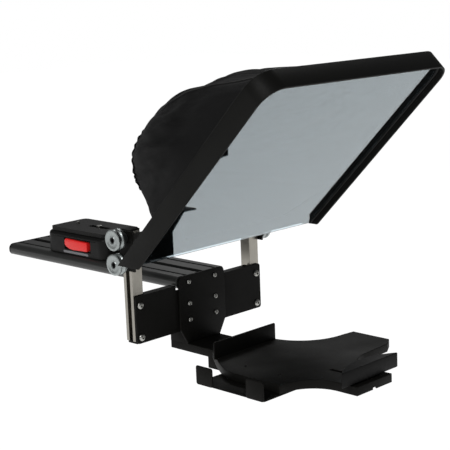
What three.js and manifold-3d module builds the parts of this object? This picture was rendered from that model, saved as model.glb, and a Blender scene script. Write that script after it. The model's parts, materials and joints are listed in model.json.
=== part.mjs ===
// Tablet teleprompter for a camcorder: a slotted base rail with a sliding quick-release camera
// mount, a cross bar with two slotted posts, a half-mirror glass in a U-shaped band frame with a
// soft hood, and a tablet tray hung in front and below.
//
// Frame: millimetres, +X to the camera operator's right, +Y from the talent back to the camera,
// +Z up. The origin is on the underside of the base rail, where the tripod plate bolts on.

import * as THREE from 'three';
import { ConvexGeometry } from 'three/addons/geometries/ConvexGeometry.js';
import { mergeVertices } from 'three/addons/utils/BufferGeometryUtils.js';
import Module from 'manifold-3d';

const wasm = await Module();
wasm.setup();

// ---------------------------------------------------------------- driving dimensions
const GAP = 0.3;                 // clearance between touching pieces
const FRONT_Y = -200;            // front end of the rail, front face of the cross bar

const RAIL_W = 96;
const RAIL_H = 18;
const RAIL_L = 395;
const RAIL_CORNER = 8;
const SLOT_SIDE_X = 28.5;        // narrow slots either side of the T-slot
const SLOT_SIDE_W = 5;
const SLOT_SIDE_DEPTH = 5.5;
const TSLOT_MOUTH = 12;
const TSLOT_W = 22;
const TSLOT_LIP = 3;
const TSLOT_DEPTH = 11;
const CAP_T = 2.5;               // plastic cap on the rail's rear end
const INSERT_Y = [-28, 28];      // tripod inserts in the rail's underside
const INSERT_R = 5.5;
const INSERT_DEPTH = 5.5;
const INSERT_BORE_R = [4.2, 3.0];  // for the large and the small tripod screw

const BAR_W = 250;               // cross bar
const BAR_TOP = 6;
const BAR_BOTTOM = -62;
const BAR_T = 3;
const BAR_FLANGE = 20;
const BAR_TOP_FLANGE = 12;
const BAR_SCREW_Z = [-8, -53.5]; // screws that hold each post to the bar
const BAR_SCREW_HOLE_R = 3.3;
const PLATE_SCREW_X = 26;        // screws through the tray's centre plate
const PLATE_SCREW_Z = [8, -23.5, -47.5];
const PLATE_SCREW_HOLE_R = 2.2;

const POST = 18;                 // square slotted post
const POST_X = 116.5;
const POST_WALL = 2.5;
const POST_SLOT = 7.5;
const POST_TOP = 97;
const POST_Y = FRONT_Y + BAR_T + GAP + POST / 2;
const POST_BOTTOM = BAR_BOTTOM + BAR_T + GAP;
const POST_CAP_T = 2;
const POST_CAP_PLUG = 6;         // half width of the cap's plug inside the post
const POST_NUT = 5;              // half width of the square nut behind each bar screw

const KNOB_R = 14.8;
const KNOB_Z = [53.8, 88.1];     // lower and upper clamp knob on each post
const KNOB_FACE_X = 150;         // outer face of a knob
const STUD_R = 2.9;
const STUD_L = 36;
const CLAMP_NUT = 6;             // half width of the clamp nut inside the post

const BAND_W = 29;               // glass frame band, seen from the side
const BAND_T = 3;
const BAND_X = 179;              // outer face of each arm
const BAND_LEN = 360;            // arm length up to the top bar's outer face
const BAND_RADIUS = 30;
const TILT = Math.PI / 4;        // the glass leans forward at 45 degrees
const HEEL_Y = FRONT_Y - 37;     // rear lower corner of an arm, before it is cut level
const HEEL_Z = 71;
const BAND_CUT_Z = 64.5;         // the arms end in a level cut
const GLASS_T = 3;
const GLASS_N = 16;              // depth of the glass's rear face inside the band
const GLASS_START = 12;          // lower edge of the glass, along the arm
const GASKET_T = 4;

const PAD = [30, 92];            // the bracket's pad on the arm, measured up the arm
const PAD_MID = 6.5;             // middle of the pad's depth inside the band
const WEB_ON_PAD = [46, 76];     // where its web meets the pad
const PAD_SCREWS = [37, 85];
const PAD_SCREW_HOLE_R = 2.2;
const BRACKET_T = 2.2;
const BRACKET_Z = [42, 98];      // lower and upper edge of its plate on the post
const WEB_Z = [58, 96];

const HOOD_T = 2;
const HOOD_REAR_Y = FRONT_Y + 70;
const HOOD_REAR_Z = 173;
const HOOD_REAR_R = 56;
const HOOD_LOW_X = 100;          // half width of the hood's lowest edge, over the rail
const HOOD_CORNER = 22;
const HOOD_CROWN = [[78, -321, 316], [76, -222, 292], [100, -324, 306], [100, -263, 277]];

const TRAY_Z = -82;              // top of the tray floor
const TRAY_T = 2.5;
const TRAY_SKIRT = 12;           // folded edge below the floor
const NECK_X = 33;
const NECK_REAR = 33;            // how far the neck runs back under the cross bar
const KEEL_Y = [-78, -43];       // folded channel under the neck, from the cross bar's face
const KEEL_Z = TRAY_Z - 28;
const LIP_X = 62;
const LIP_Y = -84;               // from the cross bar's face
const LIP_H = 23.5;
const TONGUE_X = 36;
const TONGUE_END = -314;
const ARM_REAR = -149;
const ARM_FRONT = -232;
const ARM_RIGHT = 158;
const ARM_LEFT = -91;
const PLATE_SHOULDER = 45.5;     // half width of the upright centre plate at rail height
const PLATE_SHOULDER_R = 9;
const PLATE_TAPER_Z = -59;       // below this the centre plate narrows to the neck

const STOP_X = -122;             // outer face of the side stop, half a ten-inch tablet away
const STOP_T = 2;
const STOP_EAR_H = 26;
const STOP_EAR_L = 30;
const STOP_REAR = -111;
const STOP_FOOT_END = -20;       // inner end of the foot under the tray
const STOP_SCREW = [[-58, -141], [-58, -202]];
const STOP_SLOT = [-23, 28];     // the foot's slots, from each screw
const JAW_X = 58;
const JAW_Y = -307;
const JAW_H = 20;
const JAW_SAG = 20;
const JAW_FOOT = 1.7;            // the block stands this much clear of the tray
const JAW_SCREW_Y = JAW_Y + 9;

const MOUNT_Y = 33.5;            // centre of the camera mount along the rail, rear of the origin
const MOUNT_L = 145;
const MOUNT_W = 82;
const MOUNT_H = 33;
const MOUNT_CORNER = 16;
const MOUNT_TOP = RAIL_H + GAP + MOUNT_H;
const LEVER_PIN = [-33, MOUNT_Y - 26];
const LEVER_Z = [RAIL_H + 8, RAIL_H + 26];  // floor and roof of the lever's slot
const LEVER_SLOT_DEPTH = 14;
const LEVER_HOLE_R = 2.6;
const BOLT_Y = [-30, 30];        // mount bolts, either side of the mount's centre
const BOLT_SEAT_Z = RAIL_H + 20;
const T_NUT_L = 90;
const GUIDE_X = 27;              // half width of the guide for the camera plate's foot
const GUIDE_DEPTH = 5;
const PLATE_T = 6;
const PLATE_W = 72;
const PLATE_L = 132;
const CAMERA_SCREW_Y = MOUNT_Y - 12;
const CAMERA_SLOT_L = 46;
const REGISTER_PIN_Y = MOUNT_Y + 40;

// ---------------------------------------------------------------- materials
const finish = (color, roughness, metalness, extra = {}) =>
  new THREE.MeshStandardMaterial({ color, roughness, metalness, ...extra });
const BLACK_ANODISED = finish(0x1b1c1b, 0.42, 0.6);
const RAIL_BLACK = finish(0x2b2d2c, 0.4, 0.6);
const BLACK_PAINT = finish(0x1a1a18, 0.5, 0.1);
const BLACK_PLASTIC = finish(0x141414, 0.45, 0.0);
const STAINLESS = finish(0x9c978f, 0.3, 1.0);
const TURNED_ALU = finish(0xb4bbb9, 0.28, 1.0);
const STEEL = finish(0xa9a9a6, 0.25, 1.0);
const RUBBER = finish(0x101010, 0.8, 0.0);
const FABRIC = finish(0x0e0f10, 0.9, 0.0);
const LEVER_RED = finish(0xc81e1e, 0.4, 0.0);
const GLASS = finish(0x8b9396, 0.05, 0.0, { transparent: true, opacity: 0.45 });

// ---------------------------------------------------------------- solids
function solid(geometry) {
  const g = geometry.clone();
  g.deleteAttribute('normal');
  g.deleteAttribute('uv');
  const m = mergeVertices(g, 1e-4);
  return new wasm.Manifold(new wasm.Mesh({
    numProp: 3,
    vertProperties: new Float32Array(m.attributes.position.array),
    triVerts: new Uint32Array(m.index.array),
  }));
}

function surface(manifold) {
  const mesh = manifold.getMesh();
  const g = new THREE.BufferGeometry();
  g.setAttribute('position', new THREE.BufferAttribute(new Float32Array(mesh.vertProperties), 3));
  g.setIndex(new THREE.BufferAttribute(new Uint32Array(mesh.triVerts), 1));
  g.computeVertexNormals();
  return g;
}

function join(...geometries) {
  return surface(geometries.map(solid).reduce((a, b) => a.add(b)));
}

function cut(geometry, ...tools) {
  return surface(tools.map(solid).reduce((a, b) => a.subtract(b), solid(geometry)));
}

function box(x0, x1, y0, y1, z0, z1) {
  const g = new THREE.BoxGeometry(x1 - x0, y1 - y0, z1 - z0);
  return g.translate((x0 + x1) / 2, (y0 + y1) / 2, (z0 + z1) / 2);
}

// A plate or bar with a flat outline drawn in X and Y, from z0 up to z1.
function slab(shape, z0, z1, curveSegments = 8) {
  const g = new THREE.ExtrudeGeometry(shape, { depth: z1 - z0, bevelEnabled: false, curveSegments });
  return g.translate(0, 0, z0);
}

// The same with the outline drawn in X and Z, from y0 back to y1.
function wall(shape, y0, y1, curveSegments = 8) {
  const g = new THREE.ExtrudeGeometry(shape, { depth: y1 - y0, bevelEnabled: false, curveSegments });
  return g.rotateX(Math.PI / 2).translate(0, y1, 0);
}

function rod(r, length, sides = 16) {
  return new THREE.CylinderGeometry(r, r, length, sides);
}
const rodX = (r, x0, x1, y, z, sides) =>
  rod(r, x1 - x0, sides).rotateZ(Math.PI / 2).translate((x0 + x1) / 2, y, z);
const rodY = (r, y0, y1, x, z, sides) => rod(r, y1 - y0, sides).translate(x, (y0 + y1) / 2, z);
const rodZ = (r, z0, z1, x, y, sides) =>
  rod(r, z1 - z0, sides).rotateX(Math.PI / 2).translate(x, y, (z0 + z1) / 2);

// A turned piece on the +X axis from a profile of [radius, distance] pairs.
function turned(profile, sides) {
  const points = profile.map(([r, d]) => new THREE.Vector2(r, d));
  return new THREE.LatheGeometry(points, sides).rotateZ(-Math.PI / 2);
}

function polygon(points) {
  return new THREE.Shape(points.map(([x, y]) => new THREE.Vector2(x, y)));
}

function roundedRect(x0, x1, y0, y1, r) {
  const s = new THREE.Shape();
  s.moveTo(x0 + r, y0);
  s.lineTo(x1 - r, y0);
  s.absarc(x1 - r, y0 + r, r, -Math.PI / 2, 0);
  s.lineTo(x1, y1 - r);
  s.absarc(x1 - r, y1 - r, r, 0, Math.PI / 2);
  s.lineTo(x0 + r, y1);
  s.absarc(x0 + r, y1 - r, r, Math.PI / 2, Math.PI);
  s.lineTo(x0, y0 + r);
  s.absarc(x0 + r, y0 + r, r, Math.PI, 1.5 * Math.PI);
  return s;
}

// ---------------------------------------------------------------- assembly
const rig = new THREE.Group();

function piece(name, geometry, material, x = 0, y = 0, z = 0) {
  const mesh = new THREE.Mesh(geometry, material);
  mesh.name = name;
  mesh.position.set(x, y, z);
  rig.add(mesh);
  return mesh;
}

// ---------------------------------------------------------------- base rail
function baseRail() {
  const half = RAIL_W / 2;
  const rear = FRONT_Y + RAIL_L;
  const body = wall(roundedRect(-half, half, 0, RAIL_H, RAIL_CORNER), FRONT_Y, rear, 6);
  const cuts = [
    box(-TSLOT_MOUTH / 2, TSLOT_MOUTH / 2, FRONT_Y - 1, rear + 1, RAIL_H - TSLOT_LIP - 1, RAIL_H + 1),
    box(-TSLOT_W / 2, TSLOT_W / 2, FRONT_Y - 1, rear + 1, RAIL_H - TSLOT_DEPTH, RAIL_H - TSLOT_LIP),
  ];
  for (const side of [-1, 1]) {
    const x = side * SLOT_SIDE_X;
    cuts.push(box(x - SLOT_SIDE_W / 2, x + SLOT_SIDE_W / 2, FRONT_Y - 1, rear + 1,
      RAIL_H - SLOT_SIDE_DEPTH, RAIL_H + 1));
    cuts.push(rodY(PLATE_SCREW_HOLE_R, FRONT_Y - 1, FRONT_Y + 14, side * PLATE_SCREW_X,
      PLATE_SCREW_Z[0], 12));
  }
  for (const y of INSERT_Y) cuts.push(rodZ(INSERT_R + GAP, -1, INSERT_DEPTH + GAP, 0, y, 20));
  return cut(body, ...cuts);
}

piece('base_rail', baseRail(), RAIL_BLACK);
piece('rail_rear_cap', wall(roundedRect(-RAIL_W / 2, RAIL_W / 2, 0, RAIL_H, RAIL_CORNER),
  FRONT_Y + RAIL_L + GAP, FRONT_Y + RAIL_L + GAP + CAP_T, 6), BLACK_PLASTIC);
INSERT_Y.forEach((y, i) => {
  const ring = cut(rodZ(INSERT_R, 0.2, INSERT_DEPTH, 0, y, 20),
    rodZ(INSERT_BORE_R[i], -1, INSERT_DEPTH - 1.2, 0, y, 16));
  piece(i === 0 ? 'tripod_insert_large' : 'tripod_insert_small', ring, STEEL);
});

// ---------------------------------------------------------------- cross bar, posts and screws
function crossBar() {
  const half = BAR_W / 2;
  const web = wall(roundedRect(-half, half, BAR_BOTTOM, BAR_TOP, 4), FRONT_Y, FRONT_Y + BAR_T, 3);
  const flange = box(-half + 1, half - 1, FRONT_Y + BAR_T - 1, FRONT_Y + BAR_FLANGE,
    BAR_BOTTOM, BAR_BOTTOM + BAR_T);
  let bar = join(web, flange);
  for (const side of [-1, 1]) {
    const near = side * (RAIL_W / 2 + 2);
    const far = side * (POST_X - POST / 2 - 3);
    bar = join(bar, box(Math.min(near, far), Math.max(near, far), FRONT_Y + BAR_T - 1,
      FRONT_Y + BAR_TOP_FLANGE, BAR_TOP - BAR_T, BAR_TOP));
  }
  const tools = [box(-RAIL_W / 2 - 1, RAIL_W / 2 + 1, FRONT_Y - 1, FRONT_Y + BAR_T + 1, -1, BAR_TOP + 1)];
  for (const side of [-1, 1]) {
    for (const z of BAR_SCREW_Z) {
      tools.push(rodY(BAR_SCREW_HOLE_R, FRONT_Y - 1, FRONT_Y + BAR_T + 1, side * POST_X, z, 14));
    }
    for (const z of PLATE_SCREW_Z.slice(1)) {
      tools.push(rodY(PLATE_SCREW_HOLE_R, FRONT_Y - 1, FRONT_Y + BAR_T + 1,
        side * PLATE_SCREW_X, z, 12));
    }
  }
  return cut(bar, ...tools);
}
piece('cross_bar', crossBar(), BLACK_PAINT);

// The post is a square channel whose slot faces outwards; side is -1 on the left, +1 on the right.
function post(side) {
  const h = POST / 2;
  const inner = h - POST_WALL;
  const s = POST_SLOT / 2;
  const section = polygon([
    [-h, -h], [h, -h], [h, -s], [inner, -s], [inner, -inner], [-inner, -inner],
    [-inner, inner], [inner, inner], [inner, s], [h, s], [h, h], [-h, h],
  ]);
  const g = slab(section, POST_BOTTOM, POST_TOP);
  if (side < 0) g.rotateZ(Math.PI);
  g.translate(side * POST_X, POST_Y, 0);
  const holes = BAR_SCREW_Z.map((z) =>
    rodY(BAR_SCREW_HOLE_R, POST_Y - h - 1, POST_Y - inner + 1, side * POST_X, z, 14));
  return cut(g, ...holes);
}

// Button-head screw pointing back along +Y, with a hexagon socket in its head.
function buttonScrew(headR, headH, shaftR, shaftL, socketR) {
  const head = new THREE.LatheGeometry([
    new THREE.Vector2(0, -headH), new THREE.Vector2(headR * 0.55, -headH),
    new THREE.Vector2(headR * 0.9, -headH * 0.55), new THREE.Vector2(headR, 0),
    new THREE.Vector2(shaftR, 0), new THREE.Vector2(shaftR, shaftL), new THREE.Vector2(0, shaftL),
  ], 18);
  return cut(head, rod(socketR, headH, 6).translate(0, -headH, 0));
}

for (const [side, tag] of [[-1, 'left'], [1, 'right']]) {
  piece(`post_${tag}`, post(side), STAINLESS);
  const cap = join(
    box(-POST / 2, POST / 2, -POST / 2, POST / 2, 0, POST_CAP_T),
    box(-POST_CAP_PLUG, POST_CAP_PLUG, -POST_CAP_PLUG, POST_CAP_PLUG, -2, 1));
  piece(`post_cap_${tag}`, cap, BLACK_PLASTIC, side * POST_X, POST_Y, POST_TOP + GAP);
  BAR_SCREW_Z.forEach((z, i) => {
    const row = i === 0 ? 'upper' : 'lower';
    piece(`bar_screw_${tag}_${row}`, buttonScrew(5.2, 3.2, 2.9, 12, 2.2), STEEL,
      side * POST_X, FRONT_Y - GAP, z);
    const nut = cut(box(-POST_NUT, POST_NUT, 0, POST_NUT, -POST_NUT, POST_NUT),
      rodY(3.2, -1, POST_NUT + 1, 0, 0, 14));
    piece(`bar_nut_${tag}_${row}`, nut, STEEL, side * POST_X,
      POST_Y - POST / 2 + POST_WALL + GAP, z);
  });
}

// ---------------------------------------------------------------- tablet tray
// Outlines below are drawn from the cross bar's front face: (0, 0) is the middle of that face.
function trayOutline() {
  const s = new THREE.Shape();
  s.moveTo(NECK_X, NECK_REAR);
  s.lineTo(-NECK_X, NECK_REAR);
  s.lineTo(-NECK_X, -52);
  s.lineTo(-LIP_X, -90);
  s.lineTo(-80, -118);
  s.quadraticCurveTo(ARM_LEFT, -136, ARM_LEFT, -158);
  s.lineTo(ARM_LEFT, ARM_FRONT);
  s.lineTo(-86, ARM_FRONT);
  s.absarc(-86, -282, 50, Math.PI / 2, 0, true);
  s.lineTo(-TONGUE_X, TONGUE_END);
  s.lineTo(TONGUE_X, TONGUE_END);
  s.lineTo(TONGUE_X, -282);
  s.absarc(86, -282, 50, Math.PI, Math.PI / 2, true);
  s.lineTo(138, ARM_FRONT + 3);
  s.lineTo(ARM_RIGHT, -217);
  s.lineTo(ARM_RIGHT, -152);
  s.lineTo(134, ARM_REAR);
  s.absarc(134, ARM_REAR + 73, 73, 1.5 * Math.PI, Math.PI * 1.02, true);
  s.lineTo(NECK_X, -52);
  s.closePath();
  return s;
}

// Moves every edge of a closed outline inwards by d and joins the moved edges again.
function inset(points, d) {
  const n = points.length;
  const clockwise = THREE.ShapeUtils.isClockWise(points);
  return points.map((p, i) => {
    const a = points[(i + n - 1) % n];
    const b = points[(i + 1) % n];
    const e0 = new THREE.Vector2().subVectors(p, a).normalize();
    const e1 = new THREE.Vector2().subVectors(b, p).normalize();
    const turn = clockwise ? -1 : 1;
    const n0 = new THREE.Vector2(-e0.y, e0.x).multiplyScalar(turn);
    const n1 = new THREE.Vector2(-e1.y, e1.x).multiplyScalar(turn);
    const mid = n0.clone().add(n1).normalize();
    return p.clone().addScaledVector(mid, d / Math.max(0.35, mid.dot(n0)));
  });
}

function tabletTray() {
  const outline = trayOutline().getPoints(7);
  const last = outline[outline.length - 1];
  if (last.distanceTo(outline[0]) < 1e-3) outline.pop();
  const top = TRAY_Z;
  const under = TRAY_Z - TRAY_SKIRT;
  const pan = cut(slab(new THREE.Shape(outline), under, top),
    slab(new THREE.Shape(inset(outline, TRAY_T)), under - 1, top - TRAY_T));

  const plateBack = -GAP;
  const plateFront = plateBack - BAR_T;
  const plate = wall(centrePlateShape(), plateFront, plateBack, 5);
  const pieces = [pan, plate, box(-LIP_X, LIP_X, LIP_Y - TRAY_T, LIP_Y, top - 1, top + LIP_H)];
  for (const side of [-1, 1]) {
    const x0 = side < 0 ? -NECK_X : NECK_X - TRAY_T;
    const x1 = x0 + TRAY_T;
    pieces.push(box(x0, x1, plateBack - 1, NECK_REAR, top - 1, BAR_BOTTOM - 2));
    pieces.push(box(x0, x1, ...KEEL_Y, KEEL_Z, under + 1));
  }
  pieces.push(box(-NECK_X, NECK_X, ...KEEL_Y, KEEL_Z, KEEL_Z + TRAY_T));
  for (const [x, y] of STOP_SCREW) pieces.push(rodZ(5, under, top - 1, x, y, 14));

  const tools = [box(-3.3, 3.3, -306.5, -240, top - TRAY_T - 1, top + 1)];
  tools.push(box(-4, 4, TONGUE_END - 1, TONGUE_END + TRAY_T + 1, under - 1, under + 3));
  for (const [x, y] of STOP_SCREW) tools.push(rodZ(2.4, under - 1, top + 1, x, y, 12));
  for (const side of [-1, 1]) {
    for (const z of PLATE_SCREW_Z) {
      tools.push(rodY(PLATE_SCREW_HOLE_R, plateFront - 1, plateBack + 1, side * PLATE_SCREW_X, z, 12));
    }
  }
  return cut(join(...pieces), ...tools);
}

// Upright centre plate: rounded shoulders level with the rail, tapering to the neck.
function centrePlateShape() {
  const s = new THREE.Shape();
  const shoulder = PLATE_SHOULDER;
  const r = PLATE_SHOULDER_R;
  s.moveTo(-NECK_X, TRAY_Z - 1);
  s.lineTo(NECK_X, TRAY_Z - 1);
  s.lineTo(NECK_X, TRAY_Z + 1);
  s.lineTo(shoulder, PLATE_TAPER_Z);
  s.lineTo(shoulder, RAIL_H - r);
  s.absarc(shoulder - r, RAIL_H - r, r, 0, Math.PI / 2);
  s.lineTo(-shoulder + r, RAIL_H);
  s.absarc(-shoulder + r, RAIL_H - r, r, Math.PI / 2, Math.PI);
  s.lineTo(-shoulder, PLATE_TAPER_Z);
  s.lineTo(-NECK_X, TRAY_Z + 1);
  s.closePath();
  return s;
}
piece('tablet_tray', tabletTray(), BLACK_PAINT, 0, FRONT_Y, 0);

const ROWS = ['top', 'middle', 'bottom'];
for (const [side, tag] of [[-1, 'left'], [1, 'right']]) {
  PLATE_SCREW_Z.forEach((z, i) => {
    piece(`plate_screw_${tag}_${ROWS[i]}`, buttonScrew(3.6, 2.2, 1.9, i === 0 ? 15 : 9, 1.4), STEEL,
      side * PLATE_SCREW_X, FRONT_Y - 2 * GAP - BAR_T, z);
  });
}

// ---------------------------------------------------------------- side stop with two ears
function sideStop() {
  const top = TRAY_Z - TRAY_SKIRT - GAP;
  const base = top - STOP_T;
  const foot = box(STOP_X, STOP_FOOT_END, ARM_FRONT, STOP_REAR, base, top);
  const ends = [[STOP_REAR - STOP_EAR_L, STOP_REAR], [ARM_FRONT, ARM_FRONT + STOP_EAR_L]];
  const ears = ends.map(([y0, y1]) => {
    const s = roundedRect(y0, y1, base, base + STOP_EAR_H, 3);
    const g = new THREE.ExtrudeGeometry(s, { depth: STOP_T, bevelEnabled: false, curveSegments: 3 });
    return g.rotateX(Math.PI / 2).rotateZ(Math.PI / 2).translate(STOP_X, 0, 0);
  });
  const body = join(foot, ...ears);
  const slots = STOP_SCREW.map(([x, y]) =>
    box(x + STOP_SLOT[0], x + STOP_SLOT[1], y - 2.6, y + 2.6, base - 1, top + 1));
  return cut(body, ...slots);
}
piece('side_stop', sideStop(), BLACK_PAINT, 0, FRONT_Y, 0);

// Thumb screw hung below a plate: a knurled head and a shaft going up, origin under the plate.
function thumbScrew(headR, headH, shaftR, shaftL) {
  const head = new THREE.LatheGeometry([
    new THREE.Vector2(0, -headH), new THREE.Vector2(headR - 0.8, -headH),
    new THREE.Vector2(headR, -headH + 0.8), new THREE.Vector2(headR, -0.8),
    new THREE.Vector2(headR - 0.8, 0), new THREE.Vector2(shaftR, 0),
    new THREE.Vector2(shaftR, shaftL), new THREE.Vector2(0, shaftL),
  ], 20);
  return head.rotateX(Math.PI / 2);
}
STOP_SCREW.forEach(([x, y], i) => {
  piece(i === 0 ? 'stop_screw_rear' : 'stop_screw_front', thumbScrew(8, 8, 2.1, 13), TURNED_ALU,
    x, FRONT_Y + y, TRAY_Z - TRAY_SKIRT - 2 * GAP - STOP_T);
});

// ---------------------------------------------------------------- front jaw
function frontJaw() {
  const r = (JAW_X * JAW_X + JAW_SAG * JAW_SAG) / (2 * JAW_SAG);
  const half = Math.asin(JAW_X / r);
  const s = new THREE.Shape();
  s.moveTo(JAW_X, JAW_Y);
  s.absarc(0, JAW_Y + JAW_SAG - r, r, Math.PI / 2 - half, Math.PI / 2 + half);
  s.closePath();
  const floor = TRAY_Z + GAP;
  const block = slab(s, floor + JAW_FOOT, floor + JAW_FOOT + JAW_H, 12);
  const pad = box(-24, 24, JAW_Y + 2, JAW_Y + 15, floor, floor + 2.5);
  const key = box(-2.9, 2.9, JAW_Y + 3, JAW_Y + 15, TRAY_Z - TRAY_T + GAP, floor + 1);
  return cut(join(block, pad, key), rodZ(2.4, TRAY_Z - TRAY_T - 2, TRAY_Z + 14, 0, JAW_SCREW_Y, 12));
}
piece('front_jaw', frontJaw(), BLACK_PLASTIC, 0, FRONT_Y, 0);
piece('jaw_screw', thumbScrew(9, 8, 2.1, 14), TURNED_ALU, 0, FRONT_Y + JAW_SCREW_Y,
  TRAY_Z - TRAY_T - GAP);

// ---------------------------------------------------------------- glass frame
// The head is drawn flat, X across and Y up the glass, Z from its rear edge forwards, then leaned.
const lean = new THREE.Matrix4().makeBasis(
  new THREE.Vector3(1, 0, 0),
  new THREE.Vector3(0, -Math.cos(TILT), Math.sin(TILT)),
  new THREE.Vector3(0, -Math.sin(TILT), -Math.cos(TILT)),
).setPosition(0, HEEL_Y, HEEL_Z);

function archShape(x, top, r, bottom) {
  const s = new THREE.Shape();
  s.moveTo(-x, bottom);
  s.lineTo(x, bottom);
  s.lineTo(x, top - r);
  s.absarc(x - r, top - r, r, 0, Math.PI / 2);
  s.lineTo(-x + r, top);
  s.absarc(-x + r, top - r, r, Math.PI / 2, Math.PI);
  s.closePath();
  return s;
}

function bandFrame() {
  const outer = slab(archShape(BAND_X, BAND_LEN, BAND_RADIUS, -40), 0, BAND_W, 8);
  const inner = slab(archShape(BAND_X - BAND_T, BAND_LEN - BAND_T, BAND_RADIUS - BAND_T, -60),
    -5, BAND_W + 5, 8);
  const band = cut(outer, inner).applyMatrix4(lean);
  return cut(band, box(-BAND_X - 5, BAND_X + 5, HEEL_Y - 90, HEEL_Y + 90, -60, BAND_CUT_Z));
}
const inBand = BAND_X - BAND_T - GAP;
piece('glass_frame', bandFrame(), BLACK_ANODISED);

function glassPlate() {
  const s = archShape(inBand - 1, BAND_LEN - BAND_T - GAP - 1, BAND_RADIUS - BAND_T - 1, GLASS_START);
  return slab(s, GLASS_N, GLASS_N + GLASS_T, 6).applyMatrix4(lean);
}
piece('beam_splitter_glass', glassPlate(), GLASS);

// Rubber strip that beds the glass on its rear face, along both arms and the top bar.
function glassGasket() {
  const z0 = GLASS_N - GAP - GASKET_T;
  const outer = slab(archShape(inBand - 0.2, BAND_LEN - BAND_T - 0.5, BAND_RADIUS - BAND_T - 0.5,
    GLASS_START + 2), z0, z0 + GASKET_T, 6);
  const inner = slab(archShape(inBand - 6, BAND_LEN - BAND_T - 7, BAND_RADIUS - BAND_T - 6,
    GLASS_START - 10), z0 - 1, z0 + GASKET_T + 1, 6);
  return cut(outer, inner).applyMatrix4(lean);
}
piece('glass_gasket', glassGasket(), RUBBER);

// ---------------------------------------------------------------- brackets and clamp knobs
function hull(points) {
  return new ConvexGeometry(points.map(([x, y, z]) => new THREE.Vector3(x, y, z)));
}

function bracket(side) {
  const t = BRACKET_T;
  const face = POST_X + POST / 2 + GAP;
  const yRear = POST_Y + 10;
  const yBend = POST_Y - 18;
  const plate = hull([face, face + t].flatMap((x) => [
    [x, yRear, BRACKET_Z[0]], [x, yRear, BRACKET_Z[1]],
    [x, yBend, BRACKET_Z[1]], [x, yBend, BRACKET_Z[0]]]));
  const xPad = inBand;
  const padHeel = new THREE.Vector3(0, WEB_ON_PAD[0], PAD_MID).applyMatrix4(lean);
  const padTop = new THREE.Vector3(0, WEB_ON_PAD[1], PAD_MID).applyMatrix4(lean);
  const web = hull([0, t].flatMap((d) => [
    [face + d, yBend + 1, WEB_Z[0]], [face + d, yBend + 1, WEB_Z[1]],
    [xPad - t + d, padTop.y, padTop.z], [xPad - t + d, padHeel.y, padHeel.z]]));
  const pad = box(xPad - t, xPad, PAD[0], PAD[1], 1, 10.5).applyMatrix4(lean);
  const body = join(plate, web, pad);
  const holes = KNOB_Z.map((z) => rodX(STUD_R + GAP, face - 5, face + 8, POST_Y, z, 16));
  for (const up of PAD_SCREWS) {
    holes.push(rodX(PAD_SCREW_HOLE_R, xPad - 8, xPad + 2, up, PAD_MID, 12).applyMatrix4(lean));
  }
  const g = cut(body, ...holes);
  return side > 0 ? g : mirrorX(g);
}

// Mirror image across the centre plane, with the faces turned the right way out again.
function mirrorX(geometry) {
  const g = geometry.clone().scale(-1, 1, 1);
  const index = g.index.array;
  for (let i = 0; i < index.length; i += 3) {
    [index[i + 1], index[i + 2]] = [index[i + 2], index[i + 1]];
  }
  return g;
}

function clampKnob() {
  const hub = KNOB_FACE_X - (POST_X + POST / 2 + GAP + BRACKET_T + GAP);
  const body = turned([
    [0, 0], [KNOB_R - 1, 0], [KNOB_R, 1], [KNOB_R, 3.6], [KNOB_R - 2.6, 4.6], [KNOB_R - 2.6, 7],
    [KNOB_R - 0.2, 8.2], [KNOB_R - 0.2, 13], [KNOB_R - 1, 13.8], [8, 13.8], [8, hub], [0, hub],
  ], 40);
  return cut(body, rodX(STUD_R + 0.2, -1, hub + 1, 0, 0, 16), rodX(4.6, -1, 4.4, 0, 0, 20));
}

// Socket screw through the knob: head sunk in the knob's face, end inside the post.
function clampStud() {
  const body = turned([[0, 0.6], [4.2, 0.6], [4.2, 4.1], [STUD_R, 4.1], [STUD_R, STUD_L], [0, STUD_L]], 16);
  return cut(body, rodX(2.3, -1, 3, 0, 0, 6));
}

for (const [side, tag] of [[-1, 'left'], [1, 'right']]) {
  piece(`bracket_${tag}`, bracket(side), BLACK_PAINT);
  KNOB_Z.forEach((z, i) => {
    const row = i === 0 ? 'lower' : 'upper';
    for (const [kind, geometry, material] of [['knob', clampKnob(), TURNED_ALU],
      ['knob_stud', clampStud(), STEEL]]) {
      const mesh = piece(`${kind}_${tag}_${row}`, geometry, material, side * KNOB_FACE_X, POST_Y, z);
      if (side > 0) mesh.rotation.z = Math.PI;
    }
    const nutX = POST_X + POST / 2 - POST_WALL - GAP;
    const nut = cut(box(nutX - 5, nutX, -CLAMP_NUT, CLAMP_NUT, -CLAMP_NUT, CLAMP_NUT),
      rodX(STUD_R + 0.2, nutX - 6, nutX + 1, 0, 0, 16));
    piece(`clamp_nut_${tag}_${row}`, side > 0 ? nut : mirrorX(nut), STEEL, 0, POST_Y, z);
  });
  PAD_SCREWS.forEach((up, i) => {
    const g = buttonScrew(3.6, 2.2, 1.9, BRACKET_T + GAP, 1.4).rotateZ(-Math.PI / 2);
    g.translate(inBand - BRACKET_T - GAP, up, PAD_MID).applyMatrix4(lean);
    piece(`bracket_screw_${tag}_${i === 0 ? 'lower' : 'upper'}`, side > 0 ? g : mirrorX(g), STEEL);
  });
}

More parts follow.
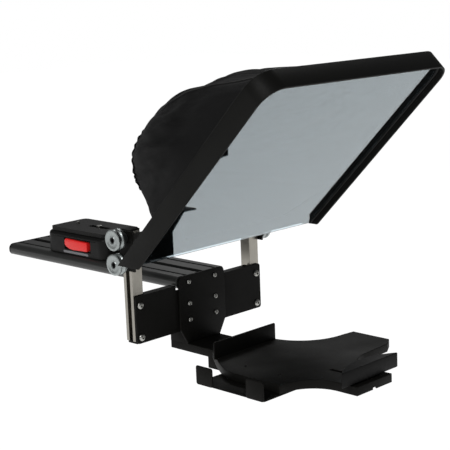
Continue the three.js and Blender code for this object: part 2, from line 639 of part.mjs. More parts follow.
// ---------------------------------------------------------------- hood
// Corner points of the hood's front edge on the band, and of its round rear opening.
function hoodRings(shrink, reach) {
  const x = inBand - 2 - shrink;
  const low = GLASS_START + 8 + shrink;
  const top = BAND_LEN - BAND_T - 3 - shrink;
  const front = [[-HOOD_LOW_X + shrink, low], [HOOD_LOW_X - shrink, low], [x, 80],
    [x, top - HOOD_CORNER], [x - HOOD_CORNER, top], [-x + HOOD_CORNER, top],
    [-x, top - HOOD_CORNER], [-x, 80]];
  const ring = front.map(([px, py]) => new THREE.Vector3(px, py, reach - 1.5).applyMatrix4(lean));
  for (const [px, py, pz] of HOOD_CROWN) {
    for (const side of [-1, 1]) ring.push(new THREE.Vector3(side * (px - shrink), py, pz - shrink));
  }
  for (let i = 0; i < 12; i += 1) {
    const a = (i + 0.5) * Math.PI / 6;
    const r = HOOD_REAR_R - shrink;
    ring.push(new THREE.Vector3(r * Math.cos(a), HOOD_REAR_Y + reach, HOOD_REAR_Z + r * Math.sin(a)));
  }
  return ring;
}
piece('hood', cut(new ConvexGeometry(hoodRings(0, 0)), new ConvexGeometry(hoodRings(HOOD_T, 1.5))),
  FABRIC);

// ---------------------------------------------------------------- camera mount
function mountBlock() {
  const half = MOUNT_W / 2;
  const y0 = MOUNT_Y - MOUNT_L / 2;
  const y1 = MOUNT_Y + MOUNT_L / 2;
  const body = slab(roundedRect(-half, half, y0, y1, MOUNT_CORNER), RAIL_H + GAP, MOUNT_TOP, 5);
  const tools = [
    box(-GUIDE_X, GUIDE_X, y0 - 1, y1 + 1, MOUNT_TOP - GUIDE_DEPTH, MOUNT_TOP + 1),
    box(-half - 1, -half + LEVER_SLOT_DEPTH, LEVER_PIN[1] - 7, LEVER_PIN[1] + 52, ...LEVER_Z),
    rodZ(LEVER_HOLE_R, RAIL_H + 4, RAIL_H + 30, LEVER_PIN[0], LEVER_PIN[1], 14),
  ];
  for (const y of BOLT_Y) {
    tools.push(rodZ(3.4, RAIL_H - 1, MOUNT_TOP, 0, MOUNT_Y + y, 14));
    tools.push(rodZ(6, BOLT_SEAT_Z, MOUNT_TOP, 0, MOUNT_Y + y, 18));
  }
  return cut(body, ...tools);
}
piece('mount_block', mountBlock(), BLACK_ANODISED);

// T-nut in the rail's slot, with a threaded hole under each bolt.
const nutZ0 = RAIL_H - TSLOT_DEPTH + 1;
const nutZ1 = RAIL_H - TSLOT_LIP - GAP;
const tNut = cut(
  join(box(-TSLOT_W / 2 + 1, TSLOT_W / 2 - 1, MOUNT_Y - T_NUT_L / 2, MOUNT_Y + T_NUT_L / 2, nutZ0, nutZ1),
    box(-TSLOT_MOUTH / 2 + 0.6, TSLOT_MOUTH / 2 - 0.6, MOUNT_Y - T_NUT_L / 2, MOUNT_Y + T_NUT_L / 2,
      nutZ1 - 1, RAIL_H)),
  ...BOLT_Y.map((y) => rodZ(3.2, nutZ0 - 1, RAIL_H + 1, 0, MOUNT_Y + y, 14)));
piece('mount_t_nut', tNut, STEEL);

function capScrew() {
  const body = new THREE.LatheGeometry([
    new THREE.Vector2(0, -28), new THREE.Vector2(2.9, -28), new THREE.Vector2(2.9, 0),
    new THREE.Vector2(5, 0), new THREE.Vector2(5, 6), new THREE.Vector2(0, 6),
  ], 18);
  return cut(body, rod(2.5, 6, 6).translate(0, 5.5, 0)).rotateX(Math.PI / 2);
}
BOLT_Y.forEach((y, i) => {
  piece(i === 0 ? 'mount_bolt_front' : 'mount_bolt_rear', capScrew(), STEEL, 0, MOUNT_Y + y,
    BOLT_SEAT_Z + GAP);
});

function releaseLever() {
  const s = new THREE.Shape();
  s.moveTo(-3.5, -5);
  s.lineTo(-3.5, 30);
  s.quadraticCurveTo(-6.5, 44, -10, 50);
  s.lineTo(-6, 50);
  s.quadraticCurveTo(1.5, 42, 4, 30);
  s.lineTo(4, 0);
  s.quadraticCurveTo(4, -5, -3.5, -5);
  const blade = slab(s, LEVER_Z[0] + GAP, LEVER_Z[1] - GAP, 6);
  return cut(blade, rodZ(LEVER_HOLE_R, RAIL_H, RAIL_H + 40, 0, 0, 14));
}
piece('release_lever', releaseLever(), LEVER_RED, LEVER_PIN[0], LEVER_PIN[1], 0);
piece('lever_pin', rodZ(2.3, RAIL_H + 4.5, RAIL_H + 29.5, 0, 0, 14), STEEL,
  LEVER_PIN[0], LEVER_PIN[1], 0);

function cameraPlate() {
  const w = PLATE_W / 2;
  const y0 = MOUNT_Y - PLATE_L / 2;
  const y1 = MOUNT_Y + PLATE_L / 2;
  const z0 = MOUNT_TOP + GAP;
  const deck = slab(roundedRect(-w, w, y0, y1, 8), z0, z0 + PLATE_T, 4);
  const foot = box(-26.5, 26.5, y0 + 6, y1 - 6, z0 - GUIDE_DEPTH + GAP, z0 + 1);
  const slot0 = CAMERA_SCREW_Y - CAMERA_SLOT_L / 2;
  const slot1 = CAMERA_SCREW_Y + CAMERA_SLOT_L / 2;
  return cut(join(deck, foot),
    box(-5, 5, slot0, slot1, z0 - 6, z0 + PLATE_T + 1),
    box(-9, 9, slot0 - 4, slot1 + 4, z0 - 6, z0 - 1),
    rodZ(2.7, z0 - 6, z0 + PLATE_T + 1, 0, REGISTER_PIN_Y, 14));
}
piece('camera_plate', cameraPlate(), BLACK_ANODISED);

const cameraScrew = turned([
  [0, 0], [8.4, 0], [8.4, 2.6], [4.6, 2.6], [4.6, 12.5], [4.1, 13.2], [0, 13.2],
], 20).rotateY(-Math.PI / 2);
piece('camera_screw', cut(cameraScrew, box(-6, 6, -0.8, 0.8, -1, 1.2)), STEEL, 0, CAMERA_SCREW_Y,
  MOUNT_TOP + GAP - 4.2);
piece('register_pin', rodZ(2.3, 0, 14, 0, 0, 14), STEEL, 0, REGISTER_PIN_Y,
  MOUNT_TOP + GAP - 4.5);

export default rig;
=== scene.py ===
# %% [markdown]
# # A tablet teleprompter
#
# A teleprompter lets a speaker read while looking into the lens. A tablet lies face up on a tray.
# Its picture reflects off a half-mirror glass that leans forward at 45 degrees. The camera looks
# through the same glass from behind, inside a black hood that keeps stray light off it.
#
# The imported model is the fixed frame: every hard piece has its true size and place there. This
# script gives each piece its finish and replaces the ones that need finer shapes, such as the
# cloth hood, the folded tray and the turned knobs.

import json
import math

import bmesh
import bpy
from mathutils import Matrix, Vector, noise

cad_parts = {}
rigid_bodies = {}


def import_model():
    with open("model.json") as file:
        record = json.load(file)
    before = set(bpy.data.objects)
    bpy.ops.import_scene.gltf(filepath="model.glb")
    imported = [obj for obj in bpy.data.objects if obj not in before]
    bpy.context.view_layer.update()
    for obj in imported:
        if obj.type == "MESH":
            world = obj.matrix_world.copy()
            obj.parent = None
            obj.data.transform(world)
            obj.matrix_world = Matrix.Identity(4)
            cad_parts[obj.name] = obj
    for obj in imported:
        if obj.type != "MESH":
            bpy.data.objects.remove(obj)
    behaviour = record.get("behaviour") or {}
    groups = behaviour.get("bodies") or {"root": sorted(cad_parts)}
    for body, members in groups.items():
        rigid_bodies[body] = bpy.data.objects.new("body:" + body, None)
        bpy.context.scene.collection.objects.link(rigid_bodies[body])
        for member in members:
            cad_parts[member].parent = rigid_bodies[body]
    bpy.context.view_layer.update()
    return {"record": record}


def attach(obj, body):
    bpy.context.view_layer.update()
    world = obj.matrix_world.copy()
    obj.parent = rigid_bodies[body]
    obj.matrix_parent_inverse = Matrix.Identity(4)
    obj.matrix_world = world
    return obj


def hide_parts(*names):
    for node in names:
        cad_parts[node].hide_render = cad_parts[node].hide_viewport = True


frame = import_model()


MM = 0.001

# %% [markdown]
# ## The camera
#
# The camera stands at the front left of the rig, about 1.9 metres off, a little above it and
# turned 45 degrees. A long lens keeps the straight bars nearly parallel. It is banked two degrees,
# as a hand-held camera often is, so the rail doesn't sit quite level in the frame.

# %% Camera
CAMERA_AT = Vector((-1.2021, -1.4559, 0.4278))
HEADING = math.radians(45.018)
DIP = math.radians(11.189)
BANK = math.radians(-2.278)
LENS_MM = 99.3
SENSOR_MM = 36


def aim(heading, dip, bank):
    """The camera's turn from its heading off +Y, its dip below level and its bank."""
    forward = Vector((math.sin(heading) * math.cos(dip), math.cos(heading) * math.cos(dip), -math.sin(dip)))
    level = Vector((math.cos(heading), -math.sin(heading), 0))
    rise = level.cross(forward)
    right = level * math.cos(bank) + rise * math.sin(bank)
    up = rise * math.cos(bank) - level * math.sin(bank)
    return Matrix((right, up, -forward)).transposed().to_4x4()


camera_data = bpy.data.cameras.new("camera")
camera_data.lens = LENS_MM
camera_data.sensor_width = SENSOR_MM
camera = bpy.data.objects.new("camera", camera_data)
camera.matrix_world = Matrix.Translation(CAMERA_AT) @ aim(HEADING, DIP, BANK)
bpy.context.scene.collection.objects.link(camera)
bpy.context.scene.camera = camera
print("camera at", tuple(CAMERA_AT), "lens", LENS_MM)

# %% [markdown]
# ## Studio
#
# Product pictures of black objects are shot on bright white paper with a dark room behind the
# camera. The paper fills in the undersides and shows as the pale reflection in the glass, while
# the dark room keeps the black paint black. So the world is white only where the camera sees it.

# %% Studio
ROOM = 0.14
PAPER = 1.0
FLOOR_Z = -0.42
FLOOR_HALF = 9.0
RIG_MIDDLE = (0, -0.3, 0.1)


def studio_world():
    """White where the camera sees it, and a dim grey room in everything else's reflections."""
    world = bpy.data.worlds.new("studio")
    world.use_nodes = True
    tree = world.node_tree
    tree.nodes.clear()
    out = tree.nodes.new("ShaderNodeOutputWorld")
    mix = tree.nodes.new("ShaderNodeMixShader")
    seen = tree.nodes.new("ShaderNodeBackground")
    seen.inputs["Color"].default_value = (1, 1, 1, 1)
    room = tree.nodes.new("ShaderNodeBackground")
    room.inputs["Color"].default_value = (1, 1, 1, 1)
    room.inputs["Strength"].default_value = ROOM
    path = tree.nodes.new("ShaderNodeLightPath")
    tree.links.new(path.outputs["Is Camera Ray"], mix.inputs[0])
    tree.links.new(room.outputs[0], mix.inputs[1])
    tree.links.new(seen.outputs[0], mix.inputs[2])
    tree.links.new(mix.outputs[0], out.inputs["Surface"])
    bpy.context.scene.world = world


def area_light(name, at, target, size, watts):
    data = bpy.data.lights.new(name, "AREA")
    data.shape = "RECTANGLE"
    data.size = size[0]
    data.size_y = size[1]
    data.energy = watts
    light = bpy.data.objects.new(name, data)
    place = Vector(at)
    turn = (Vector(target) - place).to_track_quat("-Z", "Y")
    light.matrix_world = Matrix.Translation(place) @ turn.to_matrix().to_4x4()
    bpy.context.scene.collection.objects.link(light)


def paper_floor():
    bm = bmesh.new()
    bmesh.ops.create_grid(bm, x_segments=1, y_segments=1, size=FLOOR_HALF)
    bmesh.ops.translate(bm, verts=bm.verts, vec=(0, 0, FLOOR_Z))
    mesh = bpy.data.meshes.new("floor")
    bm.to_mesh(mesh)
    bm.free()
    floor = bpy.data.objects.new("floor", mesh)
    bpy.context.scene.collection.objects.link(floor)
    paint = bpy.data.materials.new("white_paper")
    paint.use_nodes = True
    shader = paint.node_tree.nodes["Principled BSDF"]
    shader.inputs["Base Color"].default_value = (0.05, 0.05, 0.05, 1)
    shader.inputs["Roughness"].default_value = 1.0
    shader.inputs["Emission Color"].default_value = (1, 1, 1, 1)
    shader.inputs["Emission Strength"].default_value = PAPER
    mesh.materials.append(paint)


studio_world()
paper_floor()
area_light("key", (-2.2, -1.0, 1.9), RIG_MIDDLE, (1.0, 1.0), 38)
area_light("rim", (1.6, 0.9, 1.8), RIG_MIDDLE, (1.2, 0.6), 22)
bpy.context.scene.view_settings.view_transform = "Standard"
print("studio ready")

# %% [markdown]
# ## Finishes
#
# Nearly everything is black, so the finishes differ by how they scatter light: powder coat has a
# fine orange peel, anodised aluminium is smoother with lines left by the die, moulded plastic is
# even, and cloth has a weave. Wear shows first on edges, where the coat is thinnest. Each effect
# is one node group that gives only a mask, a height or a normal, so every finish can share it.

# %% Node helpers
def new_group(name, inputs, outputs):
    """A node group with named inputs, given as values, and named outputs, given as socket types."""
    tree = bpy.data.node_groups.new(name, "ShaderNodeTree")
    for label, value in inputs.items():
        kind = "NodeSocketVector" if hasattr(value, "__len__") else "NodeSocketFloat"
        tree.interface.new_socket(label, in_out="INPUT", socket_type=kind).default_value = value
    for label, kind in outputs.items():
        tree.interface.new_socket(label, in_out="OUTPUT", socket_type=kind)
    return tree, tree.nodes.new("NodeGroupInput"), tree.nodes.new("NodeGroupOutput")


def node(tree, kind, links=None, **values):
    """A node with its settings and plain values given by name, and its links by socket."""
    made = tree.nodes.new(kind)
    for key, value in values.items():
        if hasattr(made, key):
            setattr(made, key, value)
        else:
            made.inputs[key.replace("_", " ")].default_value = value
    for key, source in (links or {}).items():
        tree.links.new(source, made.inputs[key])
    return made


def maths(tree, operation, a, b=0.0):
    made = tree.nodes.new("ShaderNodeMath")
    made.operation = operation
    for slot, value in enumerate((a, b)):
        if isinstance(value, (int, float)):
            made.inputs[slot].default_value = value
        else:
            tree.links.new(value, made.inputs[slot])
    return made.outputs[0]


print("node helpers ready")

# %% [markdown]
# ### Grain and edge wear
#
# Grain is noise in the piece's own space. A stretch of nearly nothing along one axis draws it out
# into brush or die lines. Edge wear compares the true normal with one rounded over a small radius:
# they differ only near an edge, so the difference is a mask, and noise breaks it into chips.

# %% Grain and edge wear
def grain_group():
    """Noise in the piece's own space, stretched by Stretch."""
    tree, given, result = new_group(
        "grain", {"Scale": 500.0, "Detail": 3.0, "Stretch": (1.0, 1.0, 1.0)}, {"Value": "NodeSocketFloat"})
    place = node(tree, "ShaderNodeTexCoord")
    scaled = node(tree, "ShaderNodeVectorMath", {0: place.outputs["Object"], 1: given.outputs["Stretch"]},
                  operation="MULTIPLY")
    field = node(tree, "ShaderNodeTexNoise", {
        "Vector": scaled.outputs[0], "Scale": given.outputs["Scale"], "Detail": given.outputs["Detail"]})
    tree.links.new(field.outputs[0], result.inputs["Value"])
    return tree


def edge_group():
    """A mask of convex edges broken up by noise, and the normal of a small rounding there."""
    tree, given, result = new_group(
        "edges", {"Radius": 0.0006, "Reach": 0.5}, {"Wear": "NodeSocketFloat", "Normal": "NodeSocketVector"})
    soft = node(tree, "ShaderNodeBevel", {"Radius": given.outputs["Radius"]}, samples=6)
    flat = node(tree, "ShaderNodeNewGeometry")
    facing = node(tree, "ShaderNodeVectorMath", {0: soft.outputs[0], 1: flat.outputs["Normal"]},
                  operation="DOT_PRODUCT")
    away = maths(tree, "SUBTRACT", 1.0, facing.outputs["Value"])
    place = node(tree, "ShaderNodeTexCoord")
    chips = node(tree, "ShaderNodeTexNoise", {"Vector": place.outputs["Object"]}, Scale=90.0, Detail=6.0)
    broken = node(tree, "ShaderNodeMapRange", {"Value": chips.outputs[0]}, From_Min=0.42, From_Max=0.68)
    strong = maths(tree, "MULTIPLY", away, 9.0)
    worn = maths(tree, "MULTIPLY", strong, broken.outputs[0])
    mask = node(tree, "ShaderNodeClamp", {"Value": maths(tree, "MULTIPLY", worn, given.outputs["Reach"])})
    tree.links.new(mask.outputs[0], result.inputs["Wear"])
    tree.links.new(soft.outputs[0], result.inputs["Normal"])
    return tree


GRAIN = grain_group()
EDGES = edge_group()
print("grain and edge wear ready")

# %% [markdown]
# ### Weave and tool marks
#
# Threads cross at right angles, so two sines multiplied give a plain weave. A lathe leaves rings,
# so one sine of the distance along the turned profile gives the tool marks, and noise makes some
# of them deeper than others.

# %% Weave and tool marks
def weave_group():
    """Plain weave from the piece's UV, in metres: over and under threads as a height."""
    tree, given, result = new_group("weave", {"Threads": 1100.0}, {"Height": "NodeSocketFloat"})
    place = node(tree, "ShaderNodeTexCoord")
    parts = node(tree, "ShaderNodeSeparateXYZ", {0: place.outputs["UV"]})
    turn = maths(tree, "MULTIPLY", given.outputs["Threads"], math.pi)
    across = maths(tree, "SINE", maths(tree, "MULTIPLY", parts.outputs[0], turn))
    along = maths(tree, "SINE", maths(tree, "MULTIPLY", parts.outputs[1], turn))
    tree.links.new(maths(tree, "MULTIPLY", across, along), result.inputs["Height"])
    return tree


def ring_group():
    """Fine tool marks left by a lathe, from the distance stored on the mesh as ring."""
    tree, given, result = new_group("tool_marks", {"Pitch": 0.0005}, {"Height": "NodeSocketFloat"})
    ring = node(tree, "ShaderNodeAttribute", attribute_name="ring")
    turns = maths(tree, "DIVIDE", ring.outputs["Fac"], given.outputs["Pitch"])
    ridge = maths(tree, "SINE", maths(tree, "MULTIPLY", turns, 2 * math.pi))
    flat = node(tree, "ShaderNodeCombineXYZ", {0: maths(tree, "MULTIPLY", turns, 0.7)})
    uneven = node(tree, "ShaderNodeTexNoise", {"Vector": flat.outputs[0]}, Scale=1.0, Detail=2.0)
    tree.links.new(maths(tree, "MULTIPLY", ridge, uneven.outputs[0]), result.inputs["Height"])
    return tree


WEAVE = weave_group()
RINGS = ring_group()
print("shared effects:", [g.name for g in bpy.data.node_groups])

# %% [markdown]
# ### Putting a material together
#
# Every finish starts as a Principled shader with a few shared effects placed beside it. A mask
# blends two colours, and noise spread over a narrow range makes the roughness wander, since no
# real surface is equally smooth all over.

# %% Material helpers
def use(tree, group, **values):
    """A shared effect placed in a material, with its own values."""
    made = tree.nodes.new("ShaderNodeGroup")
    made.node_tree = group
    for key, value in values.items():
        made.inputs[key].default_value = value
    return made


def start(name):
    """A new material, its node tree and its shader."""
    material = bpy.data.materials.new(name)
    material.use_nodes = True
    tree = material.node_tree
    return material, tree, tree.nodes["Principled BSDF"]


def blend_colour(tree, mask, low, high):
    """From the colour low to the colour high as the mask goes from 0 to 1."""
    mix = tree.nodes.new("ShaderNodeMix")
    mix.data_type = "RGBA"
    tree.links.new(mask, mix.inputs[0])
    mix.inputs[6].default_value = (*low, 1)
    mix.inputs[7].default_value = (*high, 1)
    return mix.outputs[2]


def span(tree, value, low, high):
    """Spreads noise, which keeps near its middle, over the range from low to high."""
    return node(tree, "ShaderNodeMapRange", {"Value": value}, From_Min=0.3, From_Max=0.7,
                To_Min=low, To_Max=high).outputs[0]


print("material helpers ready")

# %% [markdown]
# ### Coated surfaces
#
# Paint, anodising and moulded plastic are one recipe with different values: a dark base, a paler
# worn colour on the edges, roughness that wanders a little, and a fine bump. The specular level is
# low on the matt blacks, because they would otherwise turn grey under a bright studio.

# %% Coated surfaces
def coated(name, colour, worn, rough, grain, bump, reach, stretch=(1, 1, 1), metallic=0.0, edge=0.0006,
           gleam=0.5):
    """A painted, anodised or moulded surface, with its edges rounded and worn."""
    material, tree, shader = start(name)
    fine = use(tree, GRAIN, Scale=grain, Stretch=stretch)
    broad = use(tree, GRAIN, Scale=22.0, Detail=5.0)
    edges = use(tree, EDGES, Radius=edge, Reach=reach)
    tree.links.new(blend_colour(tree, edges.outputs["Wear"], colour, worn), shader.inputs["Base Color"])
    patchy = maths(tree, "MULTIPLY", maths(tree, "ADD", fine.outputs[0], broad.outputs[0]), 0.5)
    tree.links.new(span(tree, patchy, rough - 0.09, rough + 0.12), shader.inputs["Roughness"])
    shader.inputs["Metallic"].default_value = metallic
    shader.inputs["Specular IOR Level"].default_value = gleam
    lumps = node(tree, "ShaderNodeBump", {"Height": fine.outputs[0], "Normal": edges.outputs["Normal"]},
                 Strength=bump, Distance=0.0002)
    tree.links.new(lumps.outputs[0], shader.inputs["Normal"])
    return material


PAINT = coated("black_powder_coat", (0.0058, 0.0056, 0.0049), (0.060, 0.058, 0.054), 0.54, 1300.0, 0.34, 0.55,
               gleam=0.08)
BAND = coated("black_anodised_band", (0.0062, 0.0062, 0.0057), (0.14, 0.14, 0.13), 0.46, 420.0, 0.40, 0.9,
              edge=0.0007, gleam=0.09)
RAIL = coated("extruded_rail", (0.030, 0.031, 0.030), (0.20, 0.20, 0.19), 0.36, 700.0, 0.18, 0.6,
              stretch=(1, 0.02, 1), metallic=0.35, edge=0.0005)
MOUNT = coated("mount_black", (0.007, 0.007, 0.0068), (0.07, 0.07, 0.07), 0.42, 1500.0, 0.20, 0.4, gleam=0.12)
PLASTIC = coated("moulded_black", (0.007, 0.007, 0.007), (0.03, 0.03, 0.03), 0.52, 1900.0, 0.35, 0.3,
                 gleam=0.10)
RUBBER = coated("matt_rubber", (0.010, 0.010, 0.010), (0.03, 0.03, 0.03), 0.72, 2200.0, 0.40, 0.2)
RED = coated("red_lever", (0.80, 0.016, 0.014), (0.85, 0.12, 0.09), 0.36, 1200.0, 0.15, 0.4)
LABEL = coated("pale_strip", (0.16, 0.16, 0.17), (0.4, 0.4, 0.4), 0.45, 800.0, 0.10, 0.2)
print("coated surfaces ready")

# %% [markdown]
# ### Bare metal
#
# Brushing leaves scratches in one direction, so a highlight spreads across them. Turned parts get
# rings in place of scratches, and a little grime, which keeps the metal from looking new.

# %% Bare metal
def bare_metal(name, colour, rough, stretch, bump, grain=900.0, edge=0.0004):
    """Brushed or plated metal: fine scratches stretched along one direction."""
    material, tree, shader = start(name)
    lines = use(tree, GRAIN, Scale=grain, Detail=4.0, Stretch=stretch)
    stains = use(tree, GRAIN, Scale=35.0, Detail=4.0)
    edges = use(tree, EDGES, Radius=edge, Reach=0.3)
    dark = tuple(0.62 * c for c in colour)
    tree.links.new(blend_colour(tree, lines.outputs[0], dark, colour), shader.inputs["Base Color"])
    both = maths(tree, "MULTIPLY", maths(tree, "ADD", lines.outputs[0], stains.outputs[0]), 0.5)
    tree.links.new(span(tree, both, rough - 0.08, rough + 0.14), shader.inputs["Roughness"])
    shader.inputs["Metallic"].default_value = 1.0
    scratch = node(tree, "ShaderNodeBump", {"Height": lines.outputs[0], "Normal": edges.outputs["Normal"]},
                   Strength=bump, Distance=0.0001)
    tree.links.new(scratch.outputs[0], shader.inputs["Normal"])
    return material


def turned_metal(name, colour, rough):
    """Lathe-turned aluminium with concentric tool marks."""
    material, tree, shader = start(name)
    marks = use(tree, RINGS, Pitch=0.0011)
    grime = use(tree, GRAIN, Scale=160.0, Detail=5.0)
    dark = tuple(0.45 * c for c in colour)
    tree.links.new(blend_colour(tree, grime.outputs[0], dark, colour), shader.inputs["Base Color"])
    tree.links.new(span(tree, grime.outputs[0], rough - 0.06, rough + 0.12), shader.inputs["Roughness"])
    shader.inputs["Metallic"].default_value = 1.0
    ridges = node(tree, "ShaderNodeBump", {"Height": marks.outputs[0]}, Strength=0.3, Distance=0.00012)
    tree.links.new(ridges.outputs[0], shader.inputs["Normal"])
    return material


STAINLESS = bare_metal("brushed_stainless", (0.42, 0.40, 0.355), 0.30, (1.0, 1.0, 0.012), 0.30)
PLATED = bare_metal("plated_screw", (0.50, 0.50, 0.47), 0.28, (1.0, 1.0, 1.0), 0.12, 600.0)
OXIDE = bare_metal("black_oxide", (0.035, 0.035, 0.036), 0.38, (1.0, 1.0, 1.0), 0.12, 600.0)
TURNED = turned_metal("turned_aluminium", (0.50, 0.54, 0.535), 0.36)
print("bare metals ready")

# %% [markdown]
# ### Cloth and glass
#
# Black cloth has almost no gloss, so its weave and lint carry the look. The real glass has a thin
# mirror coat. A high index of refraction stands in for it, which makes a plain glass shader
# reflect more and still let light through.

# %% Cloth and glass
def cloth(name, colour, lint, threads, sheen):
    """Black woven cloth: a weave in the bump, a little lint and a soft sheen."""
    material, tree, shader = start(name)
    weave = use(tree, WEAVE, Threads=threads)
    fade = use(tree, GRAIN, Scale=14.0, Detail=5.0)
    fuzz = use(tree, GRAIN, Scale=2600.0, Detail=2.0)
    tree.links.new(blend_colour(tree, fade.outputs[0], colour, lint), shader.inputs["Base Color"])
    shader.inputs["Roughness"].default_value = 0.9
    shader.inputs["Sheen Weight"].default_value = sheen
    shader.inputs["Sheen Roughness"].default_value = 0.45
    shader.inputs["Specular IOR Level"].default_value = 0.08
    height = maths(tree, "ADD", weave.outputs[0], fuzz.outputs[0])
    bump = node(tree, "ShaderNodeBump", {"Height": height}, Strength=0.45, Distance=0.0003)
    tree.links.new(bump.outputs[0], shader.inputs["Normal"])
    return material


def half_mirror(name):
    """Glass whose high index has each face reflect about a seventh of the light."""
    material, tree, shader = start(name)
    smear = use(tree, GRAIN, Scale=9.0, Detail=6.0)
    shader.inputs["Base Color"].default_value = (0.60, 0.72, 0.78, 1)
    shader.inputs["Metallic"].default_value = 0.0
    shader.inputs["Transmission Weight"].default_value = 1.0
    shader.inputs["IOR"].default_value = 2.25
    shader.inputs["Specular Tint"].default_value = (0.86, 0.96, 1.0, 1)
    tree.links.new(span(tree, smear.outputs[0], 0.0, 0.012), shader.inputs["Roughness"])
    return material


CLOTH = cloth("hood_cloth", (0.0026, 0.0026, 0.0029), (0.0062, 0.0062, 0.0062), 1100.0, 0.03)
TAPE = cloth("binding_tape", (0.007, 0.007, 0.007), (0.016, 0.016, 0.015), 1500.0, 0.15)
MIRROR = half_mirror("half_mirror_glass")
print("cloth and glass ready")

# %% [markdown]
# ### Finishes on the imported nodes
#
# The record says which material slot each node has, so the finishes are handed out by slot.

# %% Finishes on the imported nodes
SLOT_FINISH = {
    "rail": RAIL, "black_anodised": MOUNT, "black_paint": PAINT, "black_plastic": PLASTIC,
    "stainless": STAINLESS, "turned_aluminium": TURNED, "steel": PLATED, "rubber": RUBBER,
    "fabric": CLOTH, "red_plastic": RED, "glass": MIRROR,
}
for part in frame["record"]["subparts"]:
    holder = bpy.data.objects[part["node"]]
    for place in holder.material_slots:
        place.material = SLOT_FINISH[part["material_slot"]]

# %% [markdown]
# ## Making helpers
#
# A new piece is drawn in millimetres in the shared frame, made with mesh operators, and then
# rides on the body that carries it.

# %% Making helpers
def finish_piece(name, bm, material, body, node_names=(), smooth=35):
    """Turns a mesh drawn in millimetres into a piece that rides on a body."""
    bmesh.ops.scale(bm, verts=bm.verts, vec=(MM, MM, MM))
    bmesh.ops.recalc_face_normals(bm, faces=bm.faces)
    mesh = bpy.data.meshes.new(name)
    for face in bm.faces:
        face.smooth = True
    limit = math.radians(smooth)
    for edge in bm.edges:
        if len(edge.link_faces) == 2 and edge.calc_face_angle(0) > limit:
            edge.smooth = False
    bm.to_mesh(mesh)
    bm.free()
    mesh.materials.append(material)
    piece = bpy.data.objects.new(name, mesh)
    bpy.context.scene.collection.objects.link(piece)
    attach(piece, body)
    if node_names:
        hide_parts(*node_names)
    return piece


def prism(bm, outline, low, high, place=lambda x, y, z: (x, y, z)):
    """Extrudes a flat outline from low to high, mapped into the frame by place."""
    corners = [bm.verts.new(place(x, y, low)) for x, y in outline]
    base = bm.faces.new(corners)
    rise = Vector(place(0, 0, high)) - Vector(place(0, 0, low))
    grown = bmesh.ops.extrude_face_region(bm, geom=[base], use_keep_orig=True)
    moved = [item for item in grown["geom"] if isinstance(item, bmesh.types.BMVert)]
    bmesh.ops.translate(bm, verts=moved, vec=rise)
    bmesh.ops.recalc_face_normals(bm, faces=bm.faces)


def soften(bm, width, segments=3, angle=30):
    """Rounds every edge sharper than angle."""
    limit = math.radians(angle)
    sharp = [e for e in bm.edges if len(e.link_faces) == 2 and abs(e.calc_face_angle(0)) > limit]
    bmesh.ops.bevel(bm, geom=sharp, offset=width, segments=segments, affect="EDGES", profile=0.5,
                    material=-1, clamp_overlap=True)


def arc(cx, cy, r, start_deg, end_deg, steps):
    """Points on an arc, both ends included."""
    turns = [math.radians(start_deg + (end_deg - start_deg) * i / steps) for i in range(steps + 1)]
    return [(cx + r * math.cos(a), cy + r * math.sin(a)) for a in turns]


def rounded_rectangle(x0, x1, y0, y1, r, steps=6):
    """The outline of a rectangle with rounded corners."""
    return (arc(x1 - r, y0 + r, r, -90, 0, steps) + arc(x1 - r, y1 - r, r, 0, 90, steps)
            + arc(x0 + r, y1 - r, r, 90, 180, steps) + arc(x0 + r, y0 + r, r, 180, 270, steps))


def spun(bm, profile, axis, centre, steps):
    """Spins (radius, distance) pairs about an axis through centre."""
    axis = Vector(axis)
    side = axis.orthogonal().normalized()
    centre = Vector(centre)
    line = [bm.verts.new(centre + axis * d + side * r) for r, d in profile]
    edges = [bm.edges.new((a, b)) for a, b in zip(line, line[1:])]
    bmesh.ops.spin(bm, geom=line + edges, cent=centre, axis=axis, angle=2 * math.pi, steps=steps,
                   use_merge=True)
    bmesh.ops.remove_doubles(bm, verts=bm.verts, dist=0.001)


def hexagon(turn):
    """How far out a hexagon's side lies at this angle, as a share of its corner radius."""
    sector = (turn + math.pi / 6) % (math.pi / 3) - math.pi / 6
    return math.cos(math.pi / 6) / math.cos(sector)


print("helpers ready")

# %% [markdown]
# ## The glass frame
#
# A flat aluminium strip, 29 mm wide and 3 mm thick, is bent into a U and anodised black. Its two
# ends are sawn level, because the glass has no rail along its lower edge: the tablet's picture
# must reach the glass without crossing a bar. Both rims are rounded and catch a thin line of
# light, and the coat is scuffed where the top corner gets knocked.

# %% Glass frame
LEAN = math.radians(45)
HEEL = Vector((0, -237, 71))
BAND_X = 179.0
BAND_T = 3.0
BAND_W = 29.0
BAND_LENGTH = 360.0
BAND_RADIUS = 30.0
BAND_CUT_Z = 64.5
BAND_FOOT = -40      # how far below the heel the arms run before they are sawn level
SEAL_FOOT = 13
SEAL_DEPTH = (15.8, 20.4)
SEAL_LIP_DEPTH = (19.2, 20.6)


def on_glass(x, up, forward):
    """A point on the leaning head: across, up the glass, and forward from the band's rear rim."""
    run = Vector((0, -math.cos(LEAN), math.sin(LEAN)))
    face = Vector((0, -math.sin(LEAN), -math.cos(LEAN)))
    return HEEL + Vector((x, 0, 0)) + run * up + face * forward


def arch(x, top, r, bottom, steps=14):
    """An upside-down U, from the right foot over the top to the left foot."""
    return ([(x, bottom), (x, top * 0.5)] + arc(x - r, top - r, r, 0, 90, steps)
            + arc(-x + r, top - r, r, 90, 180, steps) + [(-x, top * 0.5), (-x, bottom)])


